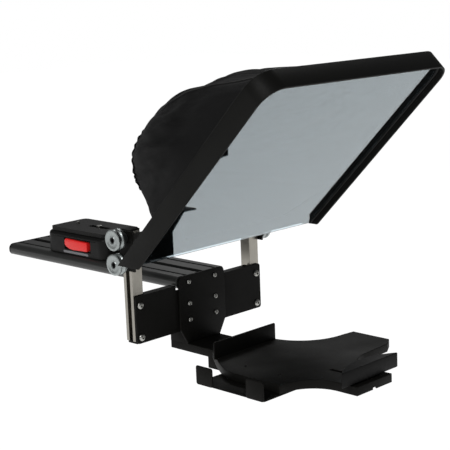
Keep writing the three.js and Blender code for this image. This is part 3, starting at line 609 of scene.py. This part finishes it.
def glass_frame():
    """The band: a U extruded to its width, sawn off level and rounded."""
    bm = bmesh.new()
    outer = arch(BAND_X, BAND_LENGTH, BAND_RADIUS, BAND_FOOT)
    inner = arch(BAND_X - BAND_T, BAND_LENGTH - BAND_T, BAND_RADIUS - BAND_T, BAND_FOOT)
    prism(bm, outer + inner[::-1], 0, BAND_W, on_glass)
    cut = bmesh.ops.bisect_plane(bm, geom=bm.verts[:] + bm.edges[:] + bm.faces[:], dist=0.0001,
                                 plane_co=(0, 0, BAND_CUT_Z), plane_no=(0, 0, -1), clear_outer=True)
    rim = [e for e in cut["geom_cut"] if isinstance(e, bmesh.types.BMEdge)]
    bmesh.ops.edgeloop_fill(bm, edges=rim)
    soften(bm, 0.7, 3)
    return finish_piece("glass_frame_band", bm, BAND, "head", ["glass_frame"])


def inside_band(inset):
    """The arch that lies this far inside the band."""
    return arch(BAND_X - BAND_T - inset, BAND_LENGTH - BAND_T - inset, BAND_RADIUS - BAND_T - inset,
                SEAL_FOOT)


def edge_seal():
    """A rubber strip round the glass's edge, with a lip over its face, so that no light enters."""
    bm = bmesh.new()
    outer = inside_band(0.1)
    prism(bm, outer + inside_band(1.2)[::-1], *SEAL_DEPTH, on_glass)
    prism(bm, outer + inside_band(3.4)[::-1], *SEAL_LIP_DEPTH, on_glass)
    return finish_piece("glass_edge_seal", bm, RUBBER, "head")


band = glass_frame()
edge_seal()
print("band faces:", len(band.data.polygons))

# %% [markdown]
# ## The clamp knobs
#
# Each knob is a spool turned from aluminium bar: a front disc to grip, a groove, a second disc and
# a hub that bears on the bracket. A socket screw runs through it to a nut inside the post. Turning
# leaves fine rings, and the light runs round them as bright fans.

# %% Clamp knobs and their socket screws
KNOB_Y = -187.7
KNOB_FACE_X = 150.0
KNOB_HEIGHTS = {"lower": 53.8, "upper": 88.1}
KNOB_PROFILE = [
    (3.2, 0.9), (4.7, 0.9), (4.7, 0.0), (5.6, -0.2), (6.1, 0.25), (10.4, 0.25), (10.9, 0.0), (13.6, 0.0),
    (14.5, 0.35), (14.8, 1.0), (14.8, 3.4), (14.3, 4.2), (12.8, 4.7), (12.3, 5.2), (12.3, 6.6),
    (12.9, 7.5), (14.2, 8.0), (14.6, 8.6), (14.6, 12.7), (14.0, 13.6), (12.8, 13.9), (8.3, 13.9),
    (8.0, 14.4), (8.0, 21.2), (3.2, 21.2),
]
KNOB_SIDES = 72
SCREW_SIDES = 36
SOCKET_PROFILE = [
    (0.0, 3.6), (2.9, 3.6), (2.9, 0.7), (3.1, 0.4), (3.8, 0.3), (4.2, 0.7), (4.2, 4.2),
    (2.9, 4.2), (2.9, 36.0), (0.0, 36.0),
]


def mark_rings(piece, axis_point):
    """Stores on each point how far along the turned profile it lies, for the tool marks."""
    store = piece.data.attributes.new("ring", "FLOAT", "POINT")
    for vertex in piece.data.vertices:
        offset = vertex.co - axis_point
        store.data[vertex.index].value = math.hypot(offset.y, offset.z) + abs(offset.x) * 0.6


def clamp_knob(side, row):
    """A knob and the socket screw through it, on the left for side -1 and the right for +1."""
    tag = "left" if side < 0 else "right"
    centre = Vector((side * KNOB_FACE_X, KNOB_Y, KNOB_HEIGHTS[row]))
    body = f"knob_{tag}_{row}"
    bm = bmesh.new()
    spun(bm, KNOB_PROFILE + [KNOB_PROFILE[0]], (-side, 0, 0), centre, KNOB_SIDES)
    knob = finish_piece(f"{body}_turned", bm, TURNED, body, [body], 40)
    mark_rings(knob, centre * MM)
    bm = bmesh.new()
    spun(bm, SOCKET_PROFILE, (-side, 0, 0), centre, SCREW_SIDES)
    for vertex in bm.verts:
        offset = vertex.co - centre
        radius = math.hypot(offset.y, offset.z)
        if 2.6 < radius < 2.95 and abs(offset.x) < 3.7:
            scale = hexagon(math.atan2(offset.z, offset.y))
            vertex.co = centre + Vector((offset.x, offset.y * scale, offset.z * scale))
    screw = finish_piece(f"knob_screw_{tag}_{row}", bm, OXIDE, body, [f"knob_stud_{tag}_{row}"], 40)
    return knob, screw


for side in (-1, 1):
    for row in KNOB_HEIGHTS:
        made = clamp_knob(side, row)
print("knob faces:", len(made[0].data.polygons))

# %% [markdown]
# ## Button screws
#
# The posts and the tray's centre plate are held by domed socket screws. A dome sheds the light
# in a small bright crescent, with a dark hexagon in the middle.

# %% Button screws
BAR_FACE_Y = -200.0
POST_X = 116.5
PLATE_X = 26.0
BAR_BUTTON = {"radius": 5.2, "height": 3.2, "shaft": 2.9}
PLATE_BUTTON = {"radius": 3.6, "height": 2.2, "shaft": 1.9}


def button_screw(name, node_name, x, y, z, radius, height, shaft, length):
    """A domed screw that points back along Y, with a hexagon socket."""
    centre = Vector((x, y, z))
    socket = radius * 0.44
    dome = [(radius * math.cos(a), -height * math.sin(a))
            for a in (math.radians(d) for d in (0, 12, 25, 38, 50, 58))]
    profile = [(0.0, -0.25 * height), (socket, -0.25 * height), (socket, -0.9 * height)]
    profile += dome[::-1] + [(radius * 0.97, 0.15), (shaft, 0.15), (shaft, length), (0.0, length)]
    bm = bmesh.new()
    spun(bm, profile, (0, 1, 0), centre, SCREW_SIDES)
    for vertex in bm.verts:
        offset = vertex.co - centre
        if abs(math.hypot(offset.x, offset.z) - socket) < 0.05 and offset.y < 0:
            scale = hexagon(math.atan2(offset.z, offset.x))
            vertex.co = centre + Vector((offset.x * scale, offset.y, offset.z * scale))
    return finish_piece(name, bm, PLATED, "base", [node_name], 40)


for side, tag in ((-1, "left"), (1, "right")):
    for row, z in (("upper", -8.0), ("lower", -53.5)):
        button_screw(f"bar_button_{tag}_{row}", f"bar_screw_{tag}_{row}", side * POST_X,
                     BAR_FACE_Y - 0.3, z, length=12, **BAR_BUTTON)
    for row, z in (("top", 8.0), ("middle", -23.5), ("bottom", -47.5)):
        button_screw(f"plate_button_{tag}_{row}", f"plate_screw_{tag}_{row}", side * PLATE_X,
                     BAR_FACE_Y - 3.6, z, length=15 if row == "top" else 9, **PLATE_BUTTON)
print("screws made")

# %% [markdown]
# ## The tablet tray
#
# The tray is cut from one sheet and folded. An upright plate bolts over the end of the rail, the
# neck runs forward from its foot, and the floor spreads into two arms and a tongue. A narrow
# skirt is folded down all round, so a thin sheet carries the tablet without bending, and a lip
# stands up across the back. The slot in the tongue guides the front jaw.

# %% Tray sizes and outline
TRAY_Z = -82.0
SHEET = 2.5
SKIRT = 12.0
NECK_X = 33
NECK_REAR = BAR_FACE_Y + 33
KEEL = (BAR_FACE_Y - 78, BAR_FACE_Y - 43)
KEEL_Z = TRAY_Z - 28
LIP_X = 62
LIP_Y = BAR_FACE_Y - 84
LIP_TOP = TRAY_Z + 23.5
LIP_CORNER = 2
JAW_SLOT = (-3.3, 3.3, BAR_FACE_Y - 306.5, BAR_FACE_Y - 240)
TONGUE_NOTCH = (-4, 4, BAR_FACE_Y - 320, BAR_FACE_Y - 309)
SCREW_HOLE_R = 2.4
BOSS_R = 5.0
STOP_SCREWS = [(-58.0, BAR_FACE_Y - 141), (-58.0, BAR_FACE_Y - 202)]


def tray_outline():
    """The floor seen from above, from the neck's right rear corner round the left side."""
    points = [(33, 33), (-33, 33), (-33, -52), (-62, -90), (-80, -118)]
    for i in range(1, 9):
        t = i / 8
        points.append(((1 - t) ** 2 * -80 + 2 * t * (1 - t) * -91 + t * t * -91,
                       (1 - t) ** 2 * -118 + 2 * t * (1 - t) * -136 + t * t * -158))
    points += [(-91, -232)] + arc(-86, -282, 50, 90, 0, 20)
    points += [(-36, -314), (36, -314)] + arc(86, -282, 50, 180, 90, 20)
    points += [(138, -229), (158, -217), (158, -152)] + arc(134, -76, 73, 270, 183.6, 28)
    points += [(33, -52)]
    return [(x, y + BAR_FACE_Y) for x, y in points]


print("tray outline:", len(tray_outline()), "points")

# %% [markdown]
# ### Cutting tools
#
# Holes and slots are cut by a Boolean modifier with a closed box or cylinder, and the result is
# kept as the piece's own mesh, so that nothing live is left on it.

# %% Cutting tools
def boolean(piece, cutters):
    """Cuts closed meshes out of a piece for good."""
    for bm in cutters:
        bmesh.ops.scale(bm, verts=bm.verts, vec=(MM, MM, MM))
        bmesh.ops.recalc_face_normals(bm, faces=bm.faces)
        mesh = bpy.data.meshes.new("cutter")
        bm.to_mesh(mesh)
        bm.free()
        tool = bpy.data.objects.new("cutter", mesh)
        bpy.context.scene.collection.objects.link(tool)
        step = piece.modifiers.new("cut", "BOOLEAN")
        step.operation = "DIFFERENCE"
        step.solver = "EXACT"
        step.object = tool
        graph = bpy.context.evaluated_depsgraph_get()
        done = bpy.data.meshes.new_from_object(piece.evaluated_get(graph))
        piece.modifiers.clear()
        piece.data = done
        bpy.data.objects.remove(tool)


def block(x0, x1, y0, y1, z0, z1):
    """A square-edged box, to cut with or to keep."""
    bm = bmesh.new()
    prism(bm, [(x0, y0), (x1, y0), (x1, y1), (x0, y1)], z0, z1)
    return bm


def drill(x, y, z0, z1, radius):
    """A round cutter standing upright."""
    bm = bmesh.new()
    bmesh.ops.create_cone(bm, cap_ends=True, segments=24, radius1=radius, radius2=radius, depth=z1 - z0)
    bmesh.ops.translate(bm, verts=bm.verts, vec=(x, y, (z0 + z1) / 2))
    return bm


print("cutting tools ready")

# %% [markdown]
# ### The floor and its bosses
#
# The floor is one flat face. Its edges are extruded down for the skirt and the shell is given the
# sheet's thickness, just as the real sheet is cut flat and then folded. Two threaded bosses under
# it take the side stop's screws.

# %% Floor and bosses
def tray_floor():
    """The floor's outline, its edges folded down, then given the sheet's thickness inwards."""
    bm = bmesh.new()
    floor = bm.faces.new([bm.verts.new((x, y, TRAY_Z)) for x, y in tray_outline()])
    folded = bmesh.ops.extrude_edge_only(bm, edges=floor.edges[:])
    low = [item for item in folded["geom"] if isinstance(item, bmesh.types.BMVert)]
    bmesh.ops.translate(bm, verts=low, vec=(0, 0, -SKIRT))
    bmesh.ops.recalc_face_normals(bm, faces=bm.faces)
    floor.normal_update()
    if floor.normal.z < 0:
        bmesh.ops.reverse_faces(bm, faces=bm.faces)
    bmesh.ops.solidify(bm, geom=bm.faces[:], thickness=SHEET)
    bmesh.ops.recalc_face_normals(bm, faces=bm.faces)
    soften(bm, 0.8, 3, 50)
    print("tray from", min(v.co.z for v in bm.verts), "to", max(v.co.z for v in bm.verts), "mm high")
    piece = finish_piece("tray_floor_sheet", bm, PAINT, "base", ["tablet_tray"])
    boolean(piece, [block(*JAW_SLOT, TRAY_Z - 6, TRAY_Z + 3),
                    block(*TONGUE_NOTCH, TRAY_Z - SKIRT - 3, TRAY_Z - SKIRT + 3)]
            + [drill(*place, TRAY_Z - 6, TRAY_Z + 3, SCREW_HOLE_R) for place in STOP_SCREWS])
    return piece


def tray_bosses():
    """Threaded bosses welded under the floor for the side stop's thumb screws."""
    for name, place in zip(("tray_boss_rear", "tray_boss_front"), STOP_SCREWS):
        bm = drill(*place, TRAY_Z - SKIRT, TRAY_Z - SHEET + 0.1, BOSS_R)
        piece = finish_piece(name, bm, PAINT, "base", ["tablet_tray"])
        boolean(piece, [drill(*place, TRAY_Z - SKIRT - 1, TRAY_Z + 1, SCREW_HOLE_R)])


tray = tray_floor()
tray_bosses()
print("tray faces:", len(tray.data.polygons))

# %% [markdown]
# ### The plate, the lip and the cheeks
#
# The other folds are flat, so each is an outline extruded by the sheet's thickness, with its
# edges rounded a little as a press brake and a coat of powder leave them.

# %% Plate, lip and cheeks
def centre_plate():
    """The upright plate: rounded shoulders level with the rail, tapering to the neck."""
    outline = ([(-33, TRAY_Z - 1), (33, TRAY_Z - 1), (33, TRAY_Z + 1), (45.5, -59)]
               + arc(36.5, 9, 9, 0, 90, 8) + arc(-36.5, 9, 9, 90, 180, 8) + [(-45.5, -59), (-33, TRAY_Z + 1)])
    bm = bmesh.new()
    prism(bm, outline, BAR_FACE_Y - 3.3, BAR_FACE_Y - 0.3, lambda x, z, y: (x, y, z))
    soften(bm, 0.6, 3)
    return finish_piece("tray_centre_plate", bm, PAINT, "base", ["tablet_tray"])


def tray_lip():
    """The lip across the tray's rear edge, with its two top corners rounded."""
    bm = bmesh.new()
    x = LIP_X - LIP_CORNER
    z = LIP_TOP - LIP_CORNER
    outline = ([(-LIP_X, TRAY_Z - 1), (LIP_X, TRAY_Z - 1)] + arc(x, z, LIP_CORNER, 0, 90, 4)
               + arc(-x, z, LIP_CORNER, 90, 180, 4))
    prism(bm, outline, LIP_Y - SHEET, LIP_Y, lambda x, z, d: (x, d, z))
    soften(bm, 0.8, 3)
    return finish_piece("tray_lip", bm, PAINT, "base", ["tablet_tray"])


def tray_cheeks():
    """The neck's side folds, up under the cross bar and down to the step below."""
    bm = bmesh.new()
    front = BAR_FACE_Y - 1.2
    for x0, x1 in ((-NECK_X, -NECK_X + SHEET), (NECK_X - SHEET, NECK_X)):
        prism(bm, [(x0, front), (x1, front), (x1, NECK_REAR), (x0, NECK_REAR)], TRAY_Z - 1, -64)
        prism(bm, [(x0, KEEL[0]), (x1, KEEL[0]), (x1, KEEL[1]), (x0, KEEL[1])], KEEL_Z, TRAY_Z - SKIRT + 1)
    prism(bm, [(-NECK_X, KEEL[0]), (NECK_X, KEEL[0]), (NECK_X, KEEL[1]), (-NECK_X, KEEL[1])],
          KEEL_Z, KEEL_Z + SHEET)
    soften(bm, 0.5, 2)
    return finish_piece("tray_cheeks", bm, PAINT, "base", ["tablet_tray"])


centre_plate()
tray_lip()
tray_cheeks()
print("plate, lip and cheeks made")

# %% [markdown]
# ## The side stop and the front jaw
#
# The side stop is a flat plate under the tray with two ears bent up at its outer edge. The jaw is
# a moulded block with a straight front and a curved back. Together they close on a tablet of any
# usual size, and thumb screws under the tray hold them.

# %% Side stop and front jaw
STOP_TOP = TRAY_Z - SKIRT - 0.3
STOP_X = -122.0
STOP_SHEET = 2.0
STOP_FRONT = BAR_FACE_Y - 232
STOP_REAR = BAR_FACE_Y - 111
EAR_LENGTH = 30
EAR_HEIGHT = 26


def side_stop():
    """A flat foot with two ears, slotted where the thumb screws pass."""
    bm = bmesh.new()
    bottom = STOP_TOP - STOP_SHEET
    foot = rounded_rectangle(STOP_X + 1, -20, STOP_FRONT, STOP_REAR, 3, 4)
    prism(bm, foot, bottom, STOP_TOP)
    for y0 in (STOP_REAR - EAR_LENGTH, STOP_FRONT):
        ear = rounded_rectangle(y0, y0 + EAR_LENGTH, bottom, bottom + EAR_HEIGHT, 3, 4)
        prism(bm, ear, STOP_X, STOP_X + STOP_SHEET, lambda a, b, c: (c, a, b))
    soften(bm, 0.5, 2)
    piece = finish_piece("side_stop_sheet", bm, PAINT, "side_stop", ["side_stop"])
    boolean(piece, [block(-81, -30, y - 2.6, y + 2.6, bottom - 1, STOP_TOP + 1) for _, y in STOP_SCREWS])
    return piece


JAW_HALF = 58.0
JAW_SAG = 20.0
JAW_FRONT = -507.0
JAW_HEIGHT = 20
JAW_SCREW_Y = JAW_FRONT + 9
JAW_PAD = (JAW_FRONT + 2, JAW_FRONT + 15)


def front_jaw():
    """The D-shaped block on its pad, bored from below for the thumb screw."""
    radius = (JAW_HALF ** 2 + JAW_SAG ** 2) / (2 * JAW_SAG)
    half = math.degrees(math.asin(JAW_HALF / radius))
    outline = arc(0, JAW_FRONT + JAW_SAG - radius, radius, 90 - half, 90 + half, 36)
    bm = bmesh.new()
    floor = TRAY_Z + 2.0
    prism(bm, outline, floor, floor + JAW_HEIGHT)
    prism(bm, [(-24, JAW_PAD[0]), (24, JAW_PAD[0]), (24, JAW_PAD[1]), (-24, JAW_PAD[1])],
          TRAY_Z + 0.3, floor + 0.5)
    soften(bm, 1.1, 3)
    piece = finish_piece("jaw_block", bm, PLASTIC, "front_jaw", ["front_jaw"])
    boolean(piece, [drill(0, JAW_SCREW_Y, TRAY_Z - 1, TRAY_Z + 14, SCREW_HOLE_R)])
    return piece


def slot_strip():
    """A thin strip under the floor that covers the jaw's slot and moves with the jaw."""
    bm = block(-5, 5, JAW_FRONT + 19, JAW_FRONT + 71, TRAY_Z - SHEET - 1.2, TRAY_Z - SHEET - 0.4)
    return finish_piece("jaw_slot_strip", bm, PLASTIC, "front_jaw")


side_stop()
front_jaw()
slot_strip()
print("stop and jaw made")

# %% [markdown]
# ## The camera mount
#
# The camera sits on a quick-release plate. The block is bolted to a nut in the rail's slot, so it
# slides to suit the camera's length. A red lever frees the plate: red is the usual warning that
# something holds the camera.

# %% Mount block and its strip
MOUNT_Y = 33.5
MOUNT_BASE = 18.3
MOUNT_HEIGHT = 33.0
MOUNT_TOP = MOUNT_BASE + MOUNT_HEIGHT
MOUNT_HALF = 41
MOUNT_ENDS = (MOUNT_Y - 72.5, MOUNT_Y + 72.5)
GUIDE_HALF = 27
LEVER_SLOT = (-42, -27, -4.0, 59.5, MOUNT_BASE + 7.7, MOUNT_BASE + 25.7)
GROOVE_Z = (MOUNT_TOP - 6.8, MOUNT_TOP - 6.1)
LEVER_PIN = (-33.0, 7.5)
LEVER_PIN_HOLE_R = 2.6


def mount_block():
    """The block, cut for the plate's guide, the lever with room to swing, and its pin."""
    bm = bmesh.new()
    y0, y1 = MOUNT_ENDS
    prism(bm, rounded_rectangle(-MOUNT_HALF, MOUNT_HALF, y0, y1, 16, 10), MOUNT_BASE, MOUNT_TOP)
    rim = [e for e in bm.edges if min(v.co.z for v in e.verts) > MOUNT_TOP - 0.1]
    foot = [e for e in bm.edges if max(v.co.z for v in e.verts) < MOUNT_BASE + 0.1]
    bmesh.ops.bevel(bm, geom=rim, offset=5.0, segments=6, affect="EDGES", profile=0.5, material=-1)
    bmesh.ops.bevel(bm, geom=foot, offset=1.0, segments=2, affect="EDGES", profile=0.5, material=-1)
    piece = finish_piece("mount_body", bm, MOUNT, "camera_mount", ["mount_block"])
    boolean(piece, [
        block(-GUIDE_HALF, GUIDE_HALF, y0 - 1, y1 + 1, MOUNT_TOP - 5, MOUNT_TOP + 1),
        block(*LEVER_SLOT),
        drill(*LEVER_PIN, MOUNT_BASE + 3.7, MOUNT_BASE + 29.7, LEVER_PIN_HOLE_R),
        block(-42, -40.2, y0 + 20, y1 - 20, *GROOVE_Z),
        block(40.2, 42, y0 + 20, y1 - 20, *GROOVE_Z),
    ])
    return piece


def mount_strip():
    """The plain pale strip along the block's side, below the lever."""
    bm = bmesh.new()
    outline = rounded_rectangle(2, 62, MOUNT_BASE + 2.2, MOUNT_BASE + 6.0, 1.2, 4)
    prism(bm, outline, -41.35, -40.95, lambda a, b, c: (c, a, b))
    return finish_piece("mount_strip", bm, LABEL, "camera_mount")


mount_block()
mount_strip()
print("mount block made")

# %% [markdown]
# ### The release lever
#
# Seen from the side the lever is flat on top, and its free end is swept up for a finger. It turns
# on a pin near its front end, so its slot has to be longer than the lever there: the corner in
# front of the pin swings forwards as the free end swings out.

# %% Release lever
def release_lever():
    """A finger lever seen from the side: flat along its top, with its free end swept up."""
    front = 3.4
    free = 57.6
    low = MOUNT_BASE + 8.3
    high = MOUNT_BASE + 25.1
    sweep = [(free - 22 * (1 - math.sin(a)), low + 8.5 * (1 - math.cos(a)))
             for a in (math.radians(d) for d in range(0, 91, 15))]
    outline = [(front, low + 1)] + sweep + [(free, high - 3.4), (free - 3, high), (front, high - 1.5)]
    bm = bmesh.new()
    prism(bm, outline, -42.6, -30.2, lambda a, b, c: (c, a, b))
    soften(bm, 1.3, 3)
    piece = finish_piece("lever_grip", bm, RED, "release_lever", ["release_lever"])
    boolean(piece, [drill(*LEVER_PIN, low - 1, high + 1, LEVER_PIN_HOLE_R)])
    return piece


release_lever()
print("lever made")

# %% [markdown]
# ## The hood
#
# The hood is one piece of black cloth, sewn to a tape along the back of the frame and gathered
# round the lens by a cord in its hem. Nothing stiff holds it out, so it swells a little near the
# frame and falls in long folds towards the opening. It is made as a loft from the frame's outline
# to the round opening, then moved outwards for fullness, and creased.

# %% Hood sizes and front edge
HOOD_REAR = Vector((0, -130, 173))
HOOD_REAR_R = 54.0
HOOD_CENTRE_UP = 190.0
HOOD_LAP = 3.0
HOOD_HALF = [(100, 20), (172, 84), (175.2, 96), (175.2, 332), (168.0, 348.6), (151, 356.0)]
HOOD_CORNERS = HOOD_HALF + [(-x, up) for x, up in reversed(HOOD_HALF)]
HOOD_ROUND = 240
HOOD_ALONG = 72
HOOD_GIRTH = 1.2     # metres of cloth round the hood, for the weave
HOOD_REACH = 0.36    # and from its front edge to its hem
FULLNESS = 30        # how far the cloth stands out half-way back, in millimetres
FOLDS = 11           # long folds round the hood, and their depth
FOLD_DEPTH = 4.6
GATHERS = 34         # small gathers at the hem, and their depth
GATHER_DEPTH = 1.1
CRUMPLE_DEPTH = 3.4
HEM_AT = 0.985       # places from the front edge, 0, to the hem, 1
TAPE_AT = 0.03
SEAM_END = 0.96


def edge_point(turn):
    """Where a ray at this angle from the middle of the frame meets the cloth's front edge."""
    ray = Vector((math.cos(turn), math.sin(turn)))
    middle = Vector((0, HOOD_CENTRE_UP))
    best = None
    for i, first in enumerate(HOOD_CORNERS):
        a = Vector(first) - middle
        b = Vector(HOOD_CORNERS[(i + 1) % len(HOOD_CORNERS)]) - middle
        side = b - a
        below = ray.x * side.y - ray.y * side.x
        if abs(below) < 1e-9:
            continue
        reach = (a.x * side.y - a.y * side.x) / below
        along = (a.x * ray.y - a.y * ray.x) / below
        if reach > 0 and -1e-6 <= along <= 1 + 1e-6 and (best is None or reach < best):
            best = reach
    return middle + ray * best


print("hood edge meets the frame at", [round(v, 1) for v in edge_point(0)], "to the right")

# %% [markdown]
# ### The hood's shape
#
# Any point of the cloth is given by a turn round the hood and a distance back from its front edge.
# Sewn edges hold the cloth flat, so the folds fade out at the frame, and they run lengthways,
# because the cloth is pulled from the frame to the hem. Small gathers start only near the hem.

# %% Hood shape
def ease(low, high, value):
    """0 below low and 1 above high, with a smooth rise between."""
    t = min(1, max(0, (value - low) / (high - low)))
    return t * t * (3 - 2 * t)


def hood_point(turn, along, outward=0.0):
    """A point on the cloth: round the hood by turn, back from its front edge, and off its face."""
    flat = edge_point(turn)
    front = on_glass(flat.x, flat.y, HOOD_LAP)
    rear = HOOD_REAR + Vector((math.cos(turn), 0, math.sin(turn))) * HOOD_REAR_R
    point = front.lerp(rear, along)
    out = Vector((math.cos(turn), 0, math.sin(turn)))
    upper = ease(-0.35, 0.35, math.sin(turn))
    fullness = FULLNESS * math.sin(math.pi * along ** 1.3) ** 0.9 * upper
    seed = Vector((math.cos(turn) * 2.1, math.sin(turn) * 2.1, along * 1.3))
    drift = noise.noise(seed * 1.7)
    loose = math.sin(math.pi * along) * ease(0.05, 0.45, along)
    folds = math.sin(FOLDS * turn + 5.5 * drift + 2.2 * along) * FOLD_DEPTH * loose
    gather = math.sin(GATHERS * turn + 7 * drift) * GATHER_DEPTH * ease(0.72, 1.0, along)
    crumple = noise.noise(seed * 6.0) * CRUMPLE_DEPTH * loose
    return point + out * (fullness + (folds + crumple) * (0.25 + 0.75 * upper) + gather + outward)


print("middle of the crown:", [round(v) for v in hood_point(math.pi / 2, 0.5)])

# %% [markdown]
# ### The hood's cloth
#
# A grid is rolled onto that shape and its two ends are merged, then it is given the thickness of
# cloth. Its UVs are in metres, so the weave has the same size everywhere.

# %% Hood cloth
def hood_shell():
    """A grid rolled onto the hood's shape, with the weave's UVs in metres, then made thick."""
    bm = bmesh.new()
    bmesh.ops.create_grid(bm, x_segments=HOOD_ROUND, y_segments=HOOD_ALONG, size=0.5, calc_uvs=True)
    layer = bm.loops.layers.uv.verify()
    for face in bm.faces:
        for loop in face.loops:
            spot = loop.vert.co
            loop[layer].uv = ((spot.x + 0.5) * HOOD_GIRTH, (spot.y + 0.5) * HOOD_REACH)
    for vertex in bm.verts:
        turn = (vertex.co.x + 0.5) * 2 * math.pi
        vertex.co = hood_point(turn, vertex.co.y + 0.5)
    bmesh.ops.remove_doubles(bm, verts=bm.verts, dist=0.01)
    bmesh.ops.recalc_face_normals(bm, faces=bm.faces)
    cloth_area = sum(face.calc_area() for face in bm.faces) * MM * MM
    bmesh.ops.solidify(bm, geom=bm.faces[:], thickness=1.1)
    piece = finish_piece("hood_cloth", bm, CLOTH, "head", ["hood"], 80)
    return piece, cloth_area


hood, hood_area = hood_shell()
print("hood cloth area:", round(hood_area, 3), "square metres")

# %% [markdown]
# ### The apron, the piping and the seams
#
# A strip of the same cloth closes the gap below the glass. The hem, the tape along the frame and
# the two seams are thin rolls that follow the cloth, and they show where it was sewn.

# %% Apron, piping and seams
def hood_apron():
    """A strip along the hood's lower edge, tucked behind the glass so no light passes under it."""
    outline = [(-169, 12.5), (169, 12.5), (169, 122), (162, 116),
               (100, 46), (-100, 46), (-162, 116), (-169, 122)]
    bm = bmesh.new()
    prism(bm, outline, 12.6, 13.8, on_glass)
    return finish_piece("hood_apron", bm, CLOTH, "head")


def tube(name, points, radius, material, closed):
    """Circles set along points, in millimetres, and bridged into one piping."""
    bm = bmesh.new()
    rings = []
    for i, point in enumerate(points):
        ahead = points[(i + 1) % len(points)] if closed or i < len(points) - 1 else point
        behind = points[i - 1] if closed or i > 0 else point
        turn = (ahead - behind).to_track_quat("Z", "Y").to_matrix().to_4x4()
        end = not closed and i in (0, len(points) - 1)
        made = bmesh.ops.create_circle(bm, segments=8, radius=radius, cap_ends=end,
                                       matrix=Matrix.Translation(point) @ turn)
        rings.append(list({edge for vertex in made["verts"] for edge in vertex.link_edges}))
    if closed:
        rings.append(rings[0])
    for first, second in zip(rings, rings[1:]):
        bmesh.ops.bridge_loops(bm, edges=first + second)
    return finish_piece(name, bm, material, "head")


hem_line = [hood_point(2 * math.pi * i / 160, HEM_AT, 0.6) for i in range(160)]
hem = tube("hood_hem", hem_line, 2.3, CLOTH, True)
tape_line = [hood_point(2 * math.pi * i / 200, TAPE_AT, 0.8) for i in range(200)]
tape = tube("hood_tape", tape_line, 0.9, TAPE, True)
apron = hood_apron()
for label, degrees in (("left", 134), ("right", 46)):
    steps = [TAPE_AT + (SEAM_END - TAPE_AT) * i / 60 for i in range(61)]
    line = [hood_point(math.radians(degrees), along, 0.9) for along in steps]
    tube(f"hood_seam_{label}", line, 0.9, TAPE, False)
